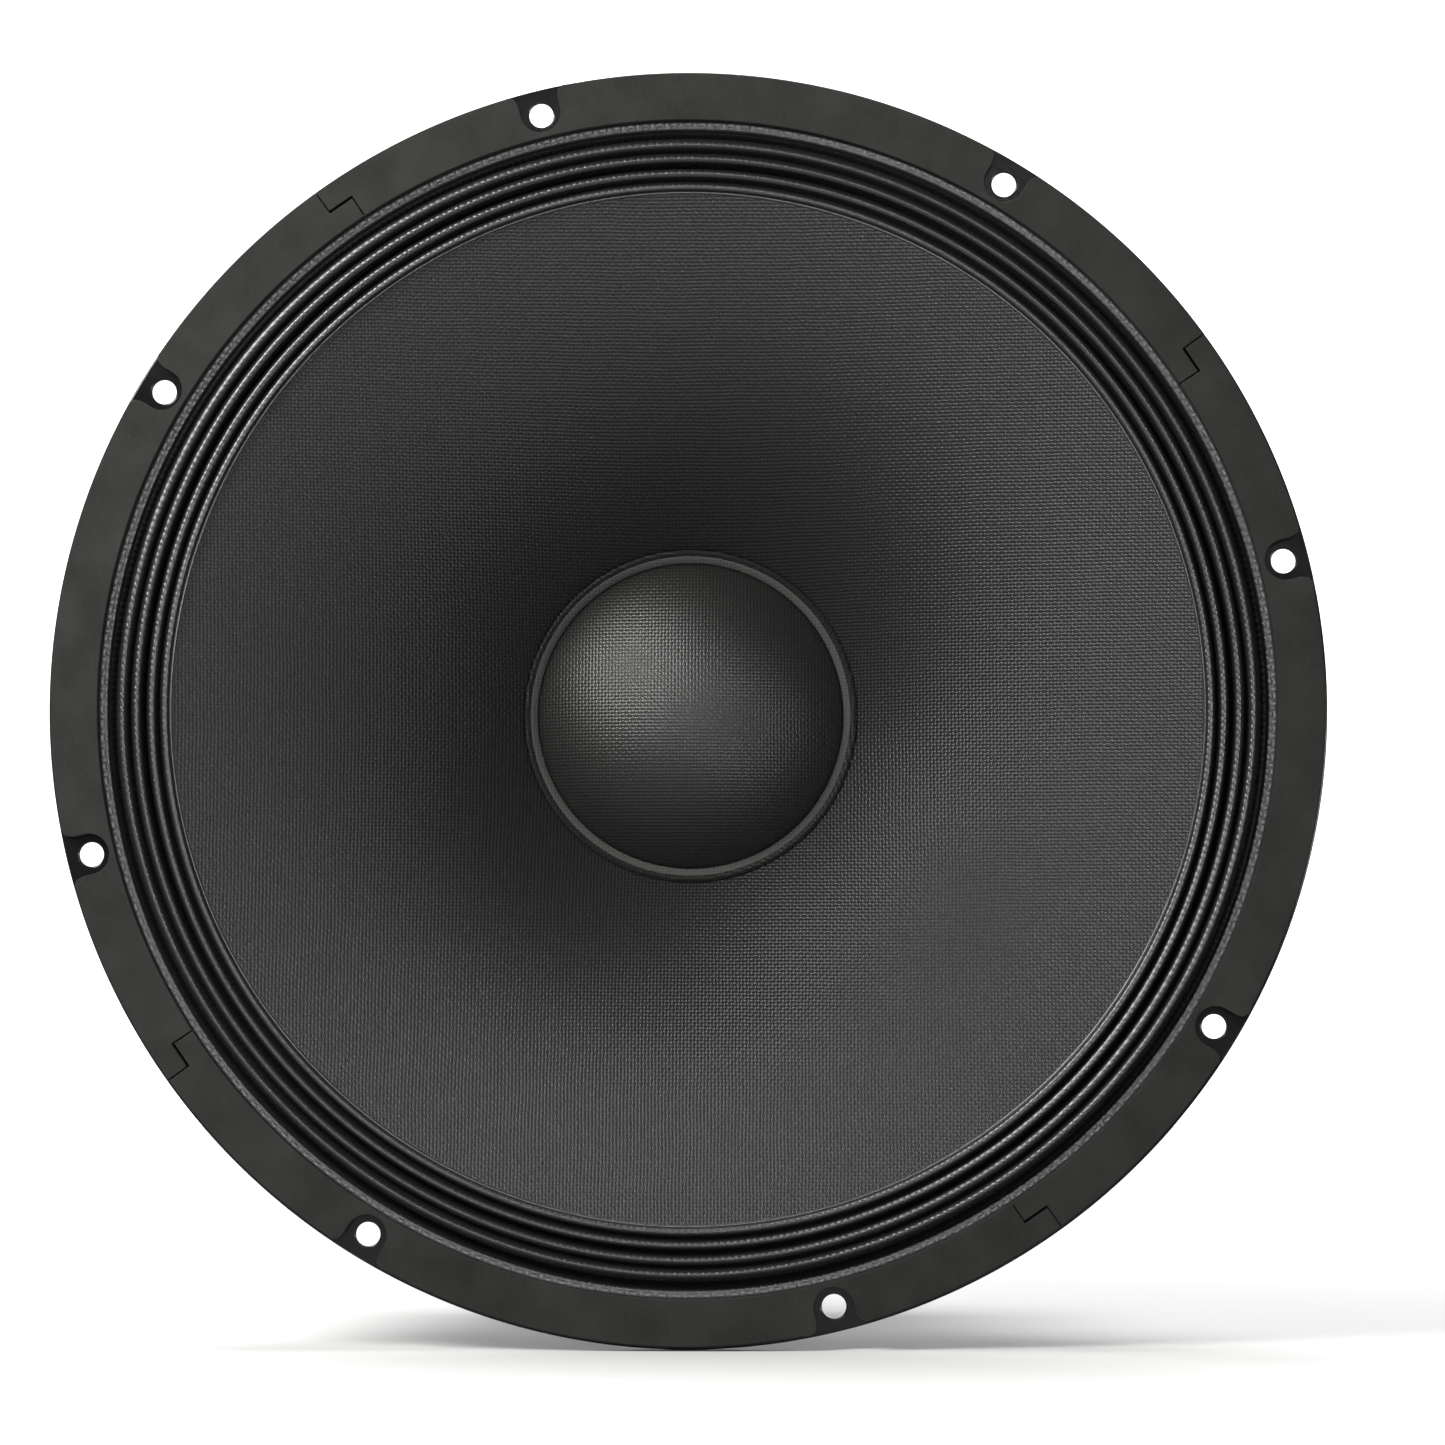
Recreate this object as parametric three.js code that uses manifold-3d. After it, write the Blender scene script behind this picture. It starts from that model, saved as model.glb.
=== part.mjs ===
// A 12-inch cone loudspeaker driver: pressed steel basket, accordion cloth surround, embossed paper cone, cloth dust
// cap, 65 mm voice coil, ferrite ring motor and a pair of push terminals.
//
// Millimetres. The loudspeaker's axis is Y: the front faces -Y and the magnet is at +Y. +Z is up. The origin is on the
// axis, in the rear face of the mounting flange, which is the plane that rests on the baffle.
import * as THREE from "three";
import { mergeVertices } from "three/addons/utils/BufferGeometryUtils.js";
import Module from "manifold-3d";

// ---- driving dimensions -------------------------------------------------------------------------------------------

const SHEET = 1.5; // pressed steel of the basket
const CLOTH = 0.7; // surround and spider cloth, with its coating
const PAPER = 1.0; // cone and dust cap
const GAP = 0.1; // clearance between neighbours
const GLUE = 0.45; // glue line between cloth and paper

const FLANGE_R = 155;
const BOLT_CIRCLE_R = 148.8;
const BOLT_HOLE_R = 2.95;
const BOLT_COUNT = 8;
const BOLT_FIRST_DEG = 13.8; // angles run from +X towards +Z, as seen from the front

const GASKET_INNER_R = 142.6;
const GASKET_OUTER_R = 154;
const GASKET_FRONT_Y = -7;
const GASKET_JOINT_R = 148.2; // radius of the stepped joint's middle cut
const GASKET_SEGMENTS = 4;
const GASKET_FIRST_JOINT_DEG = 34.5;
const GASKET_HALF_STEP = 3.3; // how far a stepped joint's two ends lie to each side of its middle
const GASKET_HALF_SLIT = 0.15;
const NOTCH_R = 4.9; // half the width of a bolt notch
const NOTCH_FLARE = 2.6; // how far a notch widens to each side at the rim
const NOTCH_FLARE_R = 151.8; // where it starts to widen

const SURROUND_OUTER_R = 149;
const SURROUND_FLAT_R = 139.6; // where the glued flange ends and the folds begin
const SURROUND_LAP = 6; // how far the cloth runs in behind the cone's edge
const FOLD_COUNT = 4;
const FOLD_PITCH = 3.4;
const FIRST_CREST_R = 137.4;
const CREST_Y = -4.9;
const VALLEY_Y = 0.4;

const CONE_EDGE_R = 125.3;
const CONE_EDGE_Y = -3.2;
const CONE_NECK_R = 33.8;
const CONE_DEPTH = 60;
const CONE_STRAIGHT = 0.5; // share of the depth that a straight flare gives; a curved one gives the rest
const CONE_POWER = 3; // how sharply the curved share steepens towards the neck

const CAP_FLANGE_R = 42;
const CAP_FLANGE_INNER_R = 39.5;
const CAP_DOME_R = 38.6;
const CAP_HEIGHT = 19;

const FORMER_INNER_R = 32.6;
const FORMER_OUTER_R = 33;
const FORMER_FRONT_Y = 53;
const FORMER_REAR_Y = 105;
const WINDING_OUTER_R = 34.4;
const WINDING_FRONT_Y = 90;
const WINDING_REAR_Y = 104;

const WINDOW_COUNT = 4;
const WINDOW_FRONT_Y = 14;
const WINDOW_REAR_Y = 56;
const WINDOW_FRONT_HALF = 58; // half widths across the window's front and rear edges
const WINDOW_REAR_HALF = 38;
const WINDOW_CORNER_R = 9;
const SLOT_COUNT = 8; // vents behind the spider
const SLOT_FRONT_Y = 74;
const SLOT_REAR_Y = 86;
const SLOT_HALF = 8;
const BASKET_BORE_R = 41; // the hole in the basket's rear that the coil passes through

const PLATEAU_Y = 67; // front face of the ledge that the spider is glued to
const SPIDER_OUTER_R = 77.5;
const SPIDER_WAVES = 4;
const SPIDER_WAVE_HEIGHT = 1.9;
const SPIDER_WAVE_OUTER_R = 66;
const SPIDER_WAVE_INNER_R = 37;

const MOTOR_SEAT_Y = 93; // rear face of the basket, where the top plate is fixed
const PLATE_R = 75;
const PLATE_THICK = 8;
const PLATE_BORE_R = 35.2;
const MAGNET_R = 78;
const MAGNET_BORE_R = 40;
const MAGNET_THICK = 20;
const BACK_R = 74;
const BACK_THICK = 8;
const POLE_R = 31.9;
const POLE_FRONT_Y = 91;
const VENT_R = 12.5;
const VENT_MOUTH_R = 18;
const VENT_MOUTH_DEEP = 5.5;
const SCREEN_HOLE_R = 2.2;
const SCREEN_HOLE_CIRCLE_R = 7;
const SCREW_CIRCLE_R = 52;
const SCREW_COUNT = 4;
const SCREW_FIRST_DEG = 45;
const SCREW_HEAD_R = 4.5;
const SCREW_HEAD_HIGH = 3;
const SCREW_SHANK_R = 2.3;
const SCREW_SOCKET_R = 1.6;
const SCREW_HOLE_R = 2.8; // in the basket
const SCREW_THREAD_R = 2.6; // in the top plate
const MAGNET_EDGE = 1.5;

const TERMINAL_DEG = 135; // the basket arm that carries the terminals
const TERMINAL_WALL_R = 108; // where the terminal board sits on the sloping wall
const POST_HALF_SPACING = 8;
const POST_HOLE_R = 2.1; // in the board and the lugs
const RIVET_X = 20;
const RIVET_HOLE_R = 1.9;
const BOARD_HALF = [23, 12];
const BUTTON_TRAVEL = 4;
const LEAD_R = 0.9;

const ROUND = 48; // facets of the large round pieces
const SOFT_ROUND = 32; // facets of the cloth and paper pieces

// ---- solids -------------------------------------------------------------------------------------------------------

const wasm = await Module();
wasm.setup();

const rad = THREE.MathUtils.degToRad;

/** A closed three.js geometry as a manifold-3d solid, turned to face outwards. */
function solidOf(geometry) {
  const bare = geometry.index ? geometry.clone() : mergeVertices(geometry);
  for (const name of ["normal", "uv"]) bare.deleteAttribute(name);
  const merged = mergeVertices(bare, 1e-4);
  const place = merged.attributes.position;
  const corners = [];
  for (let i = 0; i < merged.index.count; i += 3) {
    const [a, b, c] = [0, 1, 2].map((k) => merged.index.getX(i + k));
    if (a !== b && b !== c && a !== c) corners.push(a, b, c);
  }
  const [p, q, r] = [0, 1, 2].map(() => new THREE.Vector3());
  let volume = 0;
  for (let i = 0; i < corners.length; i += 3) {
    [p, q, r].forEach((v, k) => v.fromBufferAttribute(place, corners[i + k]));
    volume += p.dot(q.cross(r));
  }
  if (volume < 0)
    for (let i = 0; i < corners.length; i += 3)
      [corners[i + 1], corners[i + 2]] = [corners[i + 2], corners[i + 1]];
  return new wasm.Manifold(
    new wasm.Mesh({
      numProp: 3,
      vertProperties: new Float32Array(place.array),
      triVerts: new Uint32Array(corners),
    }),
  );
}

/** A manifold-3d solid as a flat-shaded three.js geometry. */
function geometryOf(solid) {
  const mesh = solid.asOriginal().simplify(0.005).getMesh();
  const geometry = new THREE.BufferGeometry();
  geometry.setAttribute("position", new THREE.BufferAttribute(mesh.vertProperties, 3));
  geometry.setIndex(new THREE.BufferAttribute(mesh.triVerts, 1));
  const flat = geometry.toNonIndexed();
  flat.computeVertexNormals();
  return flat;
}

/** The solid of a closed outline of [radius, y] points, turned about the Y axis. */
function turned(outline, facets = ROUND) {
  const points = outline.map(([r, y]) => new THREE.Vector2(r, y));
  const closes = outline[0][0] > 0 || outline.at(-1)[0] > 0;
  if (closes) points.push(points[0].clone());
  return solidOf(new THREE.LatheGeometry(points, facets));
}

/** The outline of a sheet: a path of [radius, y] points, thickened by half its thickness to each side. */
function sheetOutline(path, thickness) {
  const at = path.map(([r, y]) => new THREE.Vector2(r, y));
  const normals = at.slice(1).map((p, i) => {
    const along = p.clone().sub(at[i]).normalize();
    return new THREE.Vector2(along.y, -along.x);
  });
  const side = (sign) =>
    at.map((p, i) => {
      const before = normals[Math.max(i - 1, 0)];
      const after = normals[Math.min(i, normals.length - 1)];
      const mitre = before.clone().add(after).normalize();
      const reach = (sign * thickness) / 2 / mitre.dot(after);
      return [Math.max(p.x + mitre.x * reach, 0), p.y + mitre.y * reach];
    });
  return [...side(1), ...side(-1).reverse()];
}

/** A flat outline in X and Z, given a thickness along Y from rearY forwards. */
function slab(shape, rearY, thickness, curveSegments = 12) {
  const geometry = new THREE.ExtrudeGeometry(shape, { depth: thickness, bevelEnabled: false, curveSegments });
  geometry.rotateX(Math.PI / 2).translate(0, rearY, 0);
  return solidOf(geometry);
}

/** A round bar along Y between two depths. */
function barY(radius, fromY, toY, facets, x = 0, z = 0) {
  const geometry = new THREE.CylinderGeometry(radius, radius, toY - fromY, facets);
  return solidOf(geometry.translate(x, (fromY + toY) / 2, z));
}

/** A ring of square section about the Y axis. */
function tube(innerR, outerR, fromY, toY, facets = ROUND) {
  return turned([[innerR, fromY], [outerR, fromY], [outerR, toY], [innerR, toY]], facets);
}

/** A round bar along Z between two heights, for pieces built in the terminal's own frame. */
function barZ(radius, fromZ, toZ, facets, x = 0, y = 0) {
  const geometry = new THREE.CylinderGeometry(radius, radius, toZ - fromZ, facets);
  return solidOf(geometry.rotateX(Math.PI / 2).translate(x, y, (fromZ + toZ) / 2));
}

/** A box between two corners. */
function block([x0, y0, z0], [x1, y1, z1]) {
  const geometry = new THREE.BoxGeometry(x1 - x0, y1 - y0, z1 - z0);
  return solidOf(geometry.translate((x0 + x1) / 2, (y0 + y1) / 2, (z0 + z1) / 2));
}

/** A solid turned about the Y axis by an angle that runs from +X towards +Z. */
function swung(solid, degrees) {
  return solid.rotate([0, -degrees, 0]);
}

/** A round rod along a curve, with an even number of sides. */
function rod(curve, radius, sides, steps) {
  const section = new THREE.Shape();
  section.absarc(0, 0, radius, 0, 2 * Math.PI);
  const options = { extrudePath: curve, steps, curveSegments: sides / 2, bevelEnabled: false };
  return solidOf(new THREE.ExtrudeGeometry(section, options));
}

/** A row of evenly spaced angles in degrees. */
function around(count, first = 0) {
  return Array.from({ length: count }, (_, i) => first + (i * 360) / count);
}

// ---- finishes -----------------------------------------------------------------------------------------------------

const finish = (color, roughness, metalness = 0) => new THREE.MeshStandardMaterial({ color, roughness, metalness });

const FINISHES = {
  blackSteel: finish(0x161616, 0.45, 0.3),
  fibreboard: finish(0x3c3c3a, 0.9),
  dopedCloth: finish(0x151618, 0.35),
  paper: finish(0x38393a, 0.85),
  capCloth: finish(0x34353a, 0.75),
  polyimide: finish(0x8a5a22, 0.5),
  copper: finish(0xb4632f, 0.35, 0.9),
  spiderCloth: finish(0xa98a4e, 0.8),
  ferrite: finish(0x2a2a2c, 0.7),
  zincSteel: finish(0xa9a493, 0.35, 0.8),
  phenolic: finish(0x4a2f1c, 0.6),
  nickel: finish(0xc2c2be, 0.25, 0.95),
  redPlastic: finish(0xa01818, 0.4),
  blackPlastic: finish(0x111111, 0.4),
  braid: finish(0xb88a5a, 0.4, 0.7),
};

const loudspeaker = new THREE.Group();

/** Adds a solid to the loudspeaker, or to a group in it, as a named mesh. */
function add(name, solid, material, parent = loudspeaker) {
  const mesh = new THREE.Mesh(geometryOf(solid), material);
  mesh.name = name;
  parent.add(mesh);
}

// ---- the terminal's own frame -------------------------------------------------------------------------------------

// The basket's sloping wall runs straight from the steep part behind the flange to the spider ledge.
const WALL_FRONT = [136, 8.45];
const WALL_REAR = [81, 64.2];
const wallShare = (WALL_FRONT[0] - TERMINAL_WALL_R) / (WALL_FRONT[0] - WALL_REAR[0]);
const wallY = WALL_FRONT[1] + wallShare * (WALL_REAR[1] - WALL_FRONT[1]);
const wallLength = Math.hypot(WALL_REAR[0] - WALL_FRONT[0], WALL_REAR[1] - WALL_FRONT[1]);
const wallNormal = {
  r: (WALL_REAR[1] - WALL_FRONT[1]) / wallLength,
  y: (WALL_FRONT[0] - WALL_REAR[0]) / wallLength,
};

const PAD_LIFT = 1.8; // the pad's outer face stands this far off the middle of the wall's sheet
const PAD_HALF = [25, 15];
const PAD_DEPTH = 4.4;
const PAD_OPENING = [14.5, 7.5]; // half widths of the hole for the solder lugs

/** The frame that the terminals are built in: X across the arm, Y up the slope to the flange, Z out of the pad. */
function terminalFrame() {
  const outward = new THREE.Vector3(Math.cos(rad(TERMINAL_DEG)), 0, Math.sin(rad(TERMINAL_DEG)));
  const z = outward.clone().multiplyScalar(wallNormal.r).add(new THREE.Vector3(0, wallNormal.y, 0));
  const y = outward.clone().multiplyScalar(wallNormal.y).sub(new THREE.Vector3(0, wallNormal.r, 0));
  const x = y.clone().cross(z);
  const place = outward.clone().multiplyScalar(TERMINAL_WALL_R).setY(wallY).addScaledVector(z, PAD_LIFT);
  return new THREE.Matrix4().makeBasis(x, y, z).setPosition(place);
}

const terminalMatrix = terminalFrame();

/** A solid built in the terminal's frame, moved to its place on the basket. */
function onPad(solid) {
  return solid.transform(terminalMatrix.elements);
}

// ---- basket -------------------------------------------------------------------------------------------------------

/** The middle of the basket's sheet, from the flange's rim to the hole that the coil passes through. */
function basketPath() {
  const middle = -SHEET / 2;
  const bendR = 142.5;
  const bendRadius = 4.5;
  const bendTurn = rad(70);
  const bend = [0, 0.6, 1].map((share) => {
    const turn = share * bendTurn;
    return [bendR - bendRadius * Math.sin(turn), middle + bendRadius * (1 - Math.cos(turn))];
  });
  const seat = MOTOR_SEAT_Y - SHEET / 2;
  const ledge = PLATEAU_Y + SHEET / 2;
  return [
    [FLANGE_R, middle],
    ...bend,
    WALL_FRONT,
    WALL_REAR,
    [78, ledge],
    [68, ledge],
    [61, seat],
    [BASKET_BORE_R, seat],
  ];
}

/** A bar with a rounded trapezium outline that cuts one window when it is pushed out along X. */
function windowCutter() {
  const outline = new THREE.Shape();
  const corners = [
    [-WINDOW_FRONT_HALF, WINDOW_FRONT_Y],
    [WINDOW_FRONT_HALF, WINDOW_FRONT_Y],
    [WINDOW_REAR_HALF, WINDOW_REAR_Y],
    [-WINDOW_REAR_HALF, WINDOW_REAR_Y],
  ].map(([z, y]) => new THREE.Vector2(z, y));
  corners.forEach((corner, i) => {
    const toward = (other) => other.clone().sub(corner).setLength(WINDOW_CORNER_R).add(corner);
    const from = toward(corners[(i + 3) % 4]);
    const to = toward(corners[(i + 1) % 4]);
    if (i === 0) outline.moveTo(from.x, from.y);
    else outline.lineTo(from.x, from.y);
    outline.quadraticCurveTo(corner.x, corner.y, to.x, to.y);
  });
  const geometry = new THREE.ExtrudeGeometry(outline, { depth: 100, bevelEnabled: false, curveSegments: 4 });
  const turn = new THREE.Matrix4().makeBasis(
    new THREE.Vector3(0, 0, 1),
    new THREE.Vector3(0, 1, 0),
    new THREE.Vector3(-1, 0, 0),
  );
  return solidOf(geometry.applyMatrix4(turn).translate(160, 0, 0));
}

function makeBasket() {
  let basket = turned(sheetOutline(basketPath(), SHEET));
  for (const angle of around(BOLT_COUNT, BOLT_FIRST_DEG))
    basket = basket.subtract(swung(barY(BOLT_HOLE_R, -SHEET - 1, 1, 12, BOLT_CIRCLE_R), angle));
  const window = windowCutter();
  for (const angle of around(WINDOW_COUNT)) basket = basket.subtract(swung(window, angle));
  const slot = block([50, SLOT_FRONT_Y, -SLOT_HALF], [75, SLOT_REAR_Y, SLOT_HALF]);
  for (const angle of around(SLOT_COUNT, 180 / SLOT_COUNT)) basket = basket.subtract(swung(slot, angle));
  for (const angle of around(SCREW_COUNT, SCREW_FIRST_DEG))
    basket = basket.subtract(swung(barY(SCREW_HOLE_R, MOTOR_SEAT_Y - 3, MOTOR_SEAT_Y + 2, 12, SCREW_CIRCLE_R), angle));

  // A flat pad is pressed out of one arm for the terminal board, with a hole for the solder lugs.
  const [halfX, halfY] = PAD_HALF;
  const inside = block([SHEET - halfX, SHEET - halfY, -12], [halfX - SHEET, halfY - SHEET, -SHEET]);
  const pad = block([-halfX, -halfY, -PAD_DEPTH], [halfX, halfY, 0]).subtract(inside);
  basket = basket.subtract(onPad(inside)).add(onPad(pad));
  const [openX, openY] = PAD_OPENING;
  basket = basket.subtract(onPad(block([-openX, -openY, -PAD_DEPTH], [openX, openY, 1])));
  for (const x of [-RIVET_X, RIVET_X]) basket = basket.subtract(onPad(barZ(RIVET_HOLE_R, -5, 1, 12, x)));
  add("basket", basket, FINISHES.blackSteel);
}

// ---- gasket -------------------------------------------------------------------------------------------------------

/** The angle in degrees that an arc of that length takes at a radius. */
const arcDegrees = (length, radius) => THREE.MathUtils.radToDeg(length / radius);

/** One gasket segment's outline, whose ends are stepped so that it locks to its neighbours. */
function gasketOutline(startDeg, endDeg) {
  const halfStep = arcDegrees(GASKET_HALF_STEP, GASKET_JOINT_R);
  const halfSlit = arcDegrees(GASKET_HALF_SLIT, GASKET_JOINT_R);
  const outline = new THREE.Shape();
  const arc = (radius, fromDeg, toDeg) => outline.absarc(0, 0, radius, rad(fromDeg), rad(toDeg), toDeg < fromDeg);
  const corner = (radius, deg) => outline.lineTo(radius * Math.cos(rad(deg)), radius * Math.sin(rad(deg)));
  arc(GASKET_OUTER_R, startDeg + halfStep + halfSlit, endDeg + halfStep - halfSlit);
  corner(GASKET_JOINT_R + 2 * GASKET_HALF_SLIT, endDeg + halfStep - halfSlit);
  corner(GASKET_JOINT_R + 2 * GASKET_HALF_SLIT, endDeg - halfStep - halfSlit);
  arc(GASKET_INNER_R, endDeg - halfStep - halfSlit, startDeg - halfStep + halfSlit);
  corner(GASKET_JOINT_R - 2 * GASKET_HALF_SLIT, startDeg - halfStep + halfSlit);
  corner(GASKET_JOINT_R - 2 * GASKET_HALF_SLIT, startDeg + halfStep + halfSlit);
  outline.closePath();
  return outline;
}

/** A bolt notch at angle 0: a round end about the bolt hole, open to the rim, with flared corners. */
function notchCutter() {
  const outline = new THREE.Shape();
  const mouth = GASKET_OUTER_R + 2;
  const bendR = (NOTCH_FLARE_R + GASKET_OUTER_R) / 2;
  outline.moveTo(mouth, -NOTCH_R - NOTCH_FLARE);
  outline.lineTo(mouth, NOTCH_R + NOTCH_FLARE);
  outline.quadraticCurveTo(bendR, NOTCH_R, NOTCH_FLARE_R, NOTCH_R);
  outline.lineTo(BOLT_CIRCLE_R, NOTCH_R);
  outline.absarc(BOLT_CIRCLE_R, 0, NOTCH_R, Math.PI / 2, (3 * Math.PI) / 2, false);
  outline.lineTo(NOTCH_FLARE_R, -NOTCH_R);
  outline.quadraticCurveTo(bendR, -NOTCH_R, mouth, -NOTCH_R - NOTCH_FLARE);
  return slab(outline, 1, 12, 5);
}

function makeGasket() {
  const rearY = -SHEET - GAP;
  const thickness = rearY - GASKET_FRONT_Y;
  const clothY = -SHEET - 2 * GAP - CLOTH;
  const rebateR = SURROUND_OUTER_R + 0.8;
  const rebate = tube(GASKET_INNER_R - 4, rebateR, clothY - GAP, 1);
  const notch = notchCutter();
  const notches = around(BOLT_COUNT, BOLT_FIRST_DEG).map((angle) => swung(notch, angle));
  around(GASKET_SEGMENTS, GASKET_FIRST_JOINT_DEG).forEach((start, i) => {
    const outline = gasketOutline(start, start + 360 / GASKET_SEGMENTS);
    let segment = slab(outline, rearY, thickness, 8).subtract(rebate);
    for (const cutter of notches) segment = segment.subtract(cutter);
    add(`gasket_segment_${i + 1}`, segment, FINISHES.fibreboard);
  });
}

// ---- moving parts -------------------------------------------------------------------------------------------------

/** Depth of the cone's front face: a flare that steepens towards the neck. */
function coneY(radius) {
  const share = (CONE_EDGE_R - radius) / (CONE_EDGE_R - CONE_NECK_R);
  const curve = (1 - CONE_STRAIGHT) * Math.max(share, 0) ** CONE_POWER;
  return CONE_EDGE_Y + CONE_DEPTH * (CONE_STRAIGHT * share + curve);
}

/** A point at a distance behind the cone's front face. */
function behindCone(radius, distance) {
  const step = 0.01;
  const slope = (coneY(radius + step) - coneY(radius - step)) / (2 * step);
  const long = Math.hypot(slope, 1);
  return [radius - (distance * slope) / long, coneY(radius) + distance / long];
}

function makeSurround() {
  const flangeY = -SHEET - GAP - CLOTH / 2;
  const folds = Array.from({ length: FOLD_COUNT }, (_, i) => {
    const crest = [FIRST_CREST_R - i * FOLD_PITCH, CREST_Y];
    const valley = [crest[0] - FOLD_PITCH / 2, VALLEY_Y];
    return i < FOLD_COUNT - 1 ? [crest, valley] : [crest];
  }).flat();
  const glued = PAPER + GLUE + CLOTH / 2;
  const path = [
    [SURROUND_OUTER_R, flangeY],
    [SURROUND_FLAT_R, flangeY],
    ...folds,
    behindCone(CONE_EDGE_R, glued),
    behindCone(CONE_EDGE_R - SURROUND_LAP, glued),
  ];
  let surround = turned(sheetOutline(path, CLOTH), SOFT_ROUND);
  for (const angle of around(BOLT_COUNT, BOLT_FIRST_DEG))
    surround = surround.subtract(swung(barY(NOTCH_R + 0.4, -5, 2, 12, BOLT_CIRCLE_R), angle));
  add("surround", surround, FINISHES.dopedCloth);
}

function makeCone() {
  const radii = [CONE_EDGE_R, 108, 91, 75, 60, 46, CONE_NECK_R + PAPER];
  const path = radii.map((radius) => behindCone(radius, PAPER / 2));
  add("cone", turned(sheetOutline(path, PAPER), SOFT_ROUND), FINISHES.paper);
}

function makeDustCap() {
  const lift = -PAPER / 2 - 3 * GAP;
  const baseY = behindCone(CAP_DOME_R, lift)[1] - 1;
  const ball = (CAP_DOME_R ** 2 + CAP_HEIGHT ** 2) / (2 * CAP_HEIGHT);
  const reach = Math.asin(CAP_DOME_R / ball);
  const dome = [1, 0.75, 0.5, 0.25, 0].map((share) => [
    ball * Math.sin(reach * share),
    baseY - CAP_HEIGHT + ball * (1 - Math.cos(reach * share)),
  ]);
  const path = [behindCone(CAP_FLANGE_R, lift), behindCone(CAP_FLANGE_INNER_R, lift), ...dome];
  const outline = sheetOutline(path, PAPER);
  const middle = path.length - 1;
  outline[middle][0] = 0;
  outline[middle + 1][0] = 0;
  const sections = [outline.slice(0, middle + 1), outline.slice(middle + 1)];
  const closed = [...sections[1], ...sections[0]];
  add("dust_cap", turned(closed, SOFT_ROUND), FINISHES.capCloth);
}

function makeCoil() {
  add("coil_former", tube(FORMER_INNER_R, FORMER_OUTER_R, FORMER_FRONT_Y, FORMER_REAR_Y), FINISHES.polyimide);
  const winding = tube(FORMER_OUTER_R + GAP, WINDING_OUTER_R, WINDING_FRONT_Y, WINDING_REAR_Y);
  add("voice_coil_winding", winding, FINISHES.copper);
}

function makeSpider() {
  const flangeY = PLATEAU_Y - GAP - CLOTH / 2;
  const halfWaves = 2 * SPIDER_WAVES;
  const pitch = (SPIDER_WAVE_OUTER_R - SPIDER_WAVE_INNER_R) / halfWaves;
  const waves = Array.from({ length: halfWaves }, (_, i) => [
    SPIDER_WAVE_OUTER_R - (i + 0.5) * pitch,
    flangeY + (i % 2 ? SPIDER_WAVE_HEIGHT : -SPIDER_WAVE_HEIGHT),
  ]);
  const path = [
    [SPIDER_OUTER_R, flangeY],
    [SPIDER_WAVE_OUTER_R + 1, flangeY],
    ...waves,
    [SPIDER_WAVE_INNER_R - 1, flangeY],
    [FORMER_OUTER_R + 0.3 + CLOTH / 2, flangeY - 2.6],
  ];
  add("spider", turned(sheetOutline(path, CLOTH), SOFT_ROUND), FINISHES.spiderCloth);
}

// ---- motor --------------------------------------------------------------------------------------------------------

function makeMotor() {
  const plateY = MOTOR_SEAT_Y + GAP;
  const magnetY = plateY + PLATE_THICK + GAP;
  const backY = magnetY + MAGNET_THICK + GAP;
  const rearY = backY + BACK_THICK;

  let plate = tube(PLATE_BORE_R, PLATE_R, plateY, plateY + PLATE_THICK);
  for (const angle of around(SCREW_COUNT, SCREW_FIRST_DEG))
    plate = plate.subtract(swung(barY(SCREW_THREAD_R, plateY - 1, magnetY + 1, 12, SCREW_CIRCLE_R), angle));
  add("top_plate", plate, FINISHES.zincSteel);

  const magnet = turned([
    [MAGNET_BORE_R, magnetY],
    [MAGNET_R - MAGNET_EDGE, magnetY],
    [MAGNET_R, magnetY + MAGNET_EDGE],
    [MAGNET_R, magnetY + MAGNET_THICK - MAGNET_EDGE],
    [MAGNET_R - MAGNET_EDGE, magnetY + MAGNET_THICK],
    [MAGNET_BORE_R, magnetY + MAGNET_THICK],
  ]);
  add("magnet", magnet, FINISHES.ferrite);

  const yoke = turned([
    [VENT_R, POLE_FRONT_Y],
    [POLE_R - 0.8, POLE_FRONT_Y],
    [POLE_R, POLE_FRONT_Y + 0.8],
    [POLE_R, backY],
    [BACK_R, backY],
    [BACK_R, rearY - 2],
    [BACK_R - 2, rearY],
    [VENT_MOUTH_R, rearY],
    [VENT_R, rearY - VENT_MOUTH_DEEP],
  ]);
  add("back_plate_and_pole", yoke, FINISHES.zincSteel);

  const screenY = rearY - VENT_MOUTH_DEEP - 2.5;
  const screenHole = (radius) => barY(SCREEN_HOLE_R, screenY - 1, screenY + 2, 8, radius);
  const ringHoles = around(6).map((angle) => swung(screenHole(SCREEN_HOLE_CIRCLE_R), angle));
  let screen = barY(VENT_R - 3 * GAP, screenY, screenY + 1, 24);
  for (const hole of [screenHole(0), ...ringHoles]) screen = screen.subtract(hole);
  add("vent_screen", screen, FINISHES.nickel);

  const headY = MOTOR_SEAT_Y - SHEET - GAP;
  around(SCREW_COUNT, SCREW_FIRST_DEG).forEach((angle, i) => {
    const topY = headY - SCREW_HEAD_HIGH;
    const head = barY(SCREW_HEAD_R, topY, headY, 16, SCREW_CIRCLE_R);
    const shank = barY(SCREW_SHANK_R, headY - 0.5, plateY + PLATE_THICK - 1.5, 12, SCREW_CIRCLE_R);
    const socket = barY(SCREW_SOCKET_R, topY - 1, topY + 1.8, 6, SCREW_CIRCLE_R);
    add(`motor_screw_${i + 1}`, swung(head.add(shank).subtract(socket), angle), FINISHES.zincSteel);
  });
}

// ---- terminals ----------------------------------------------------------------------------------------------------

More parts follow.
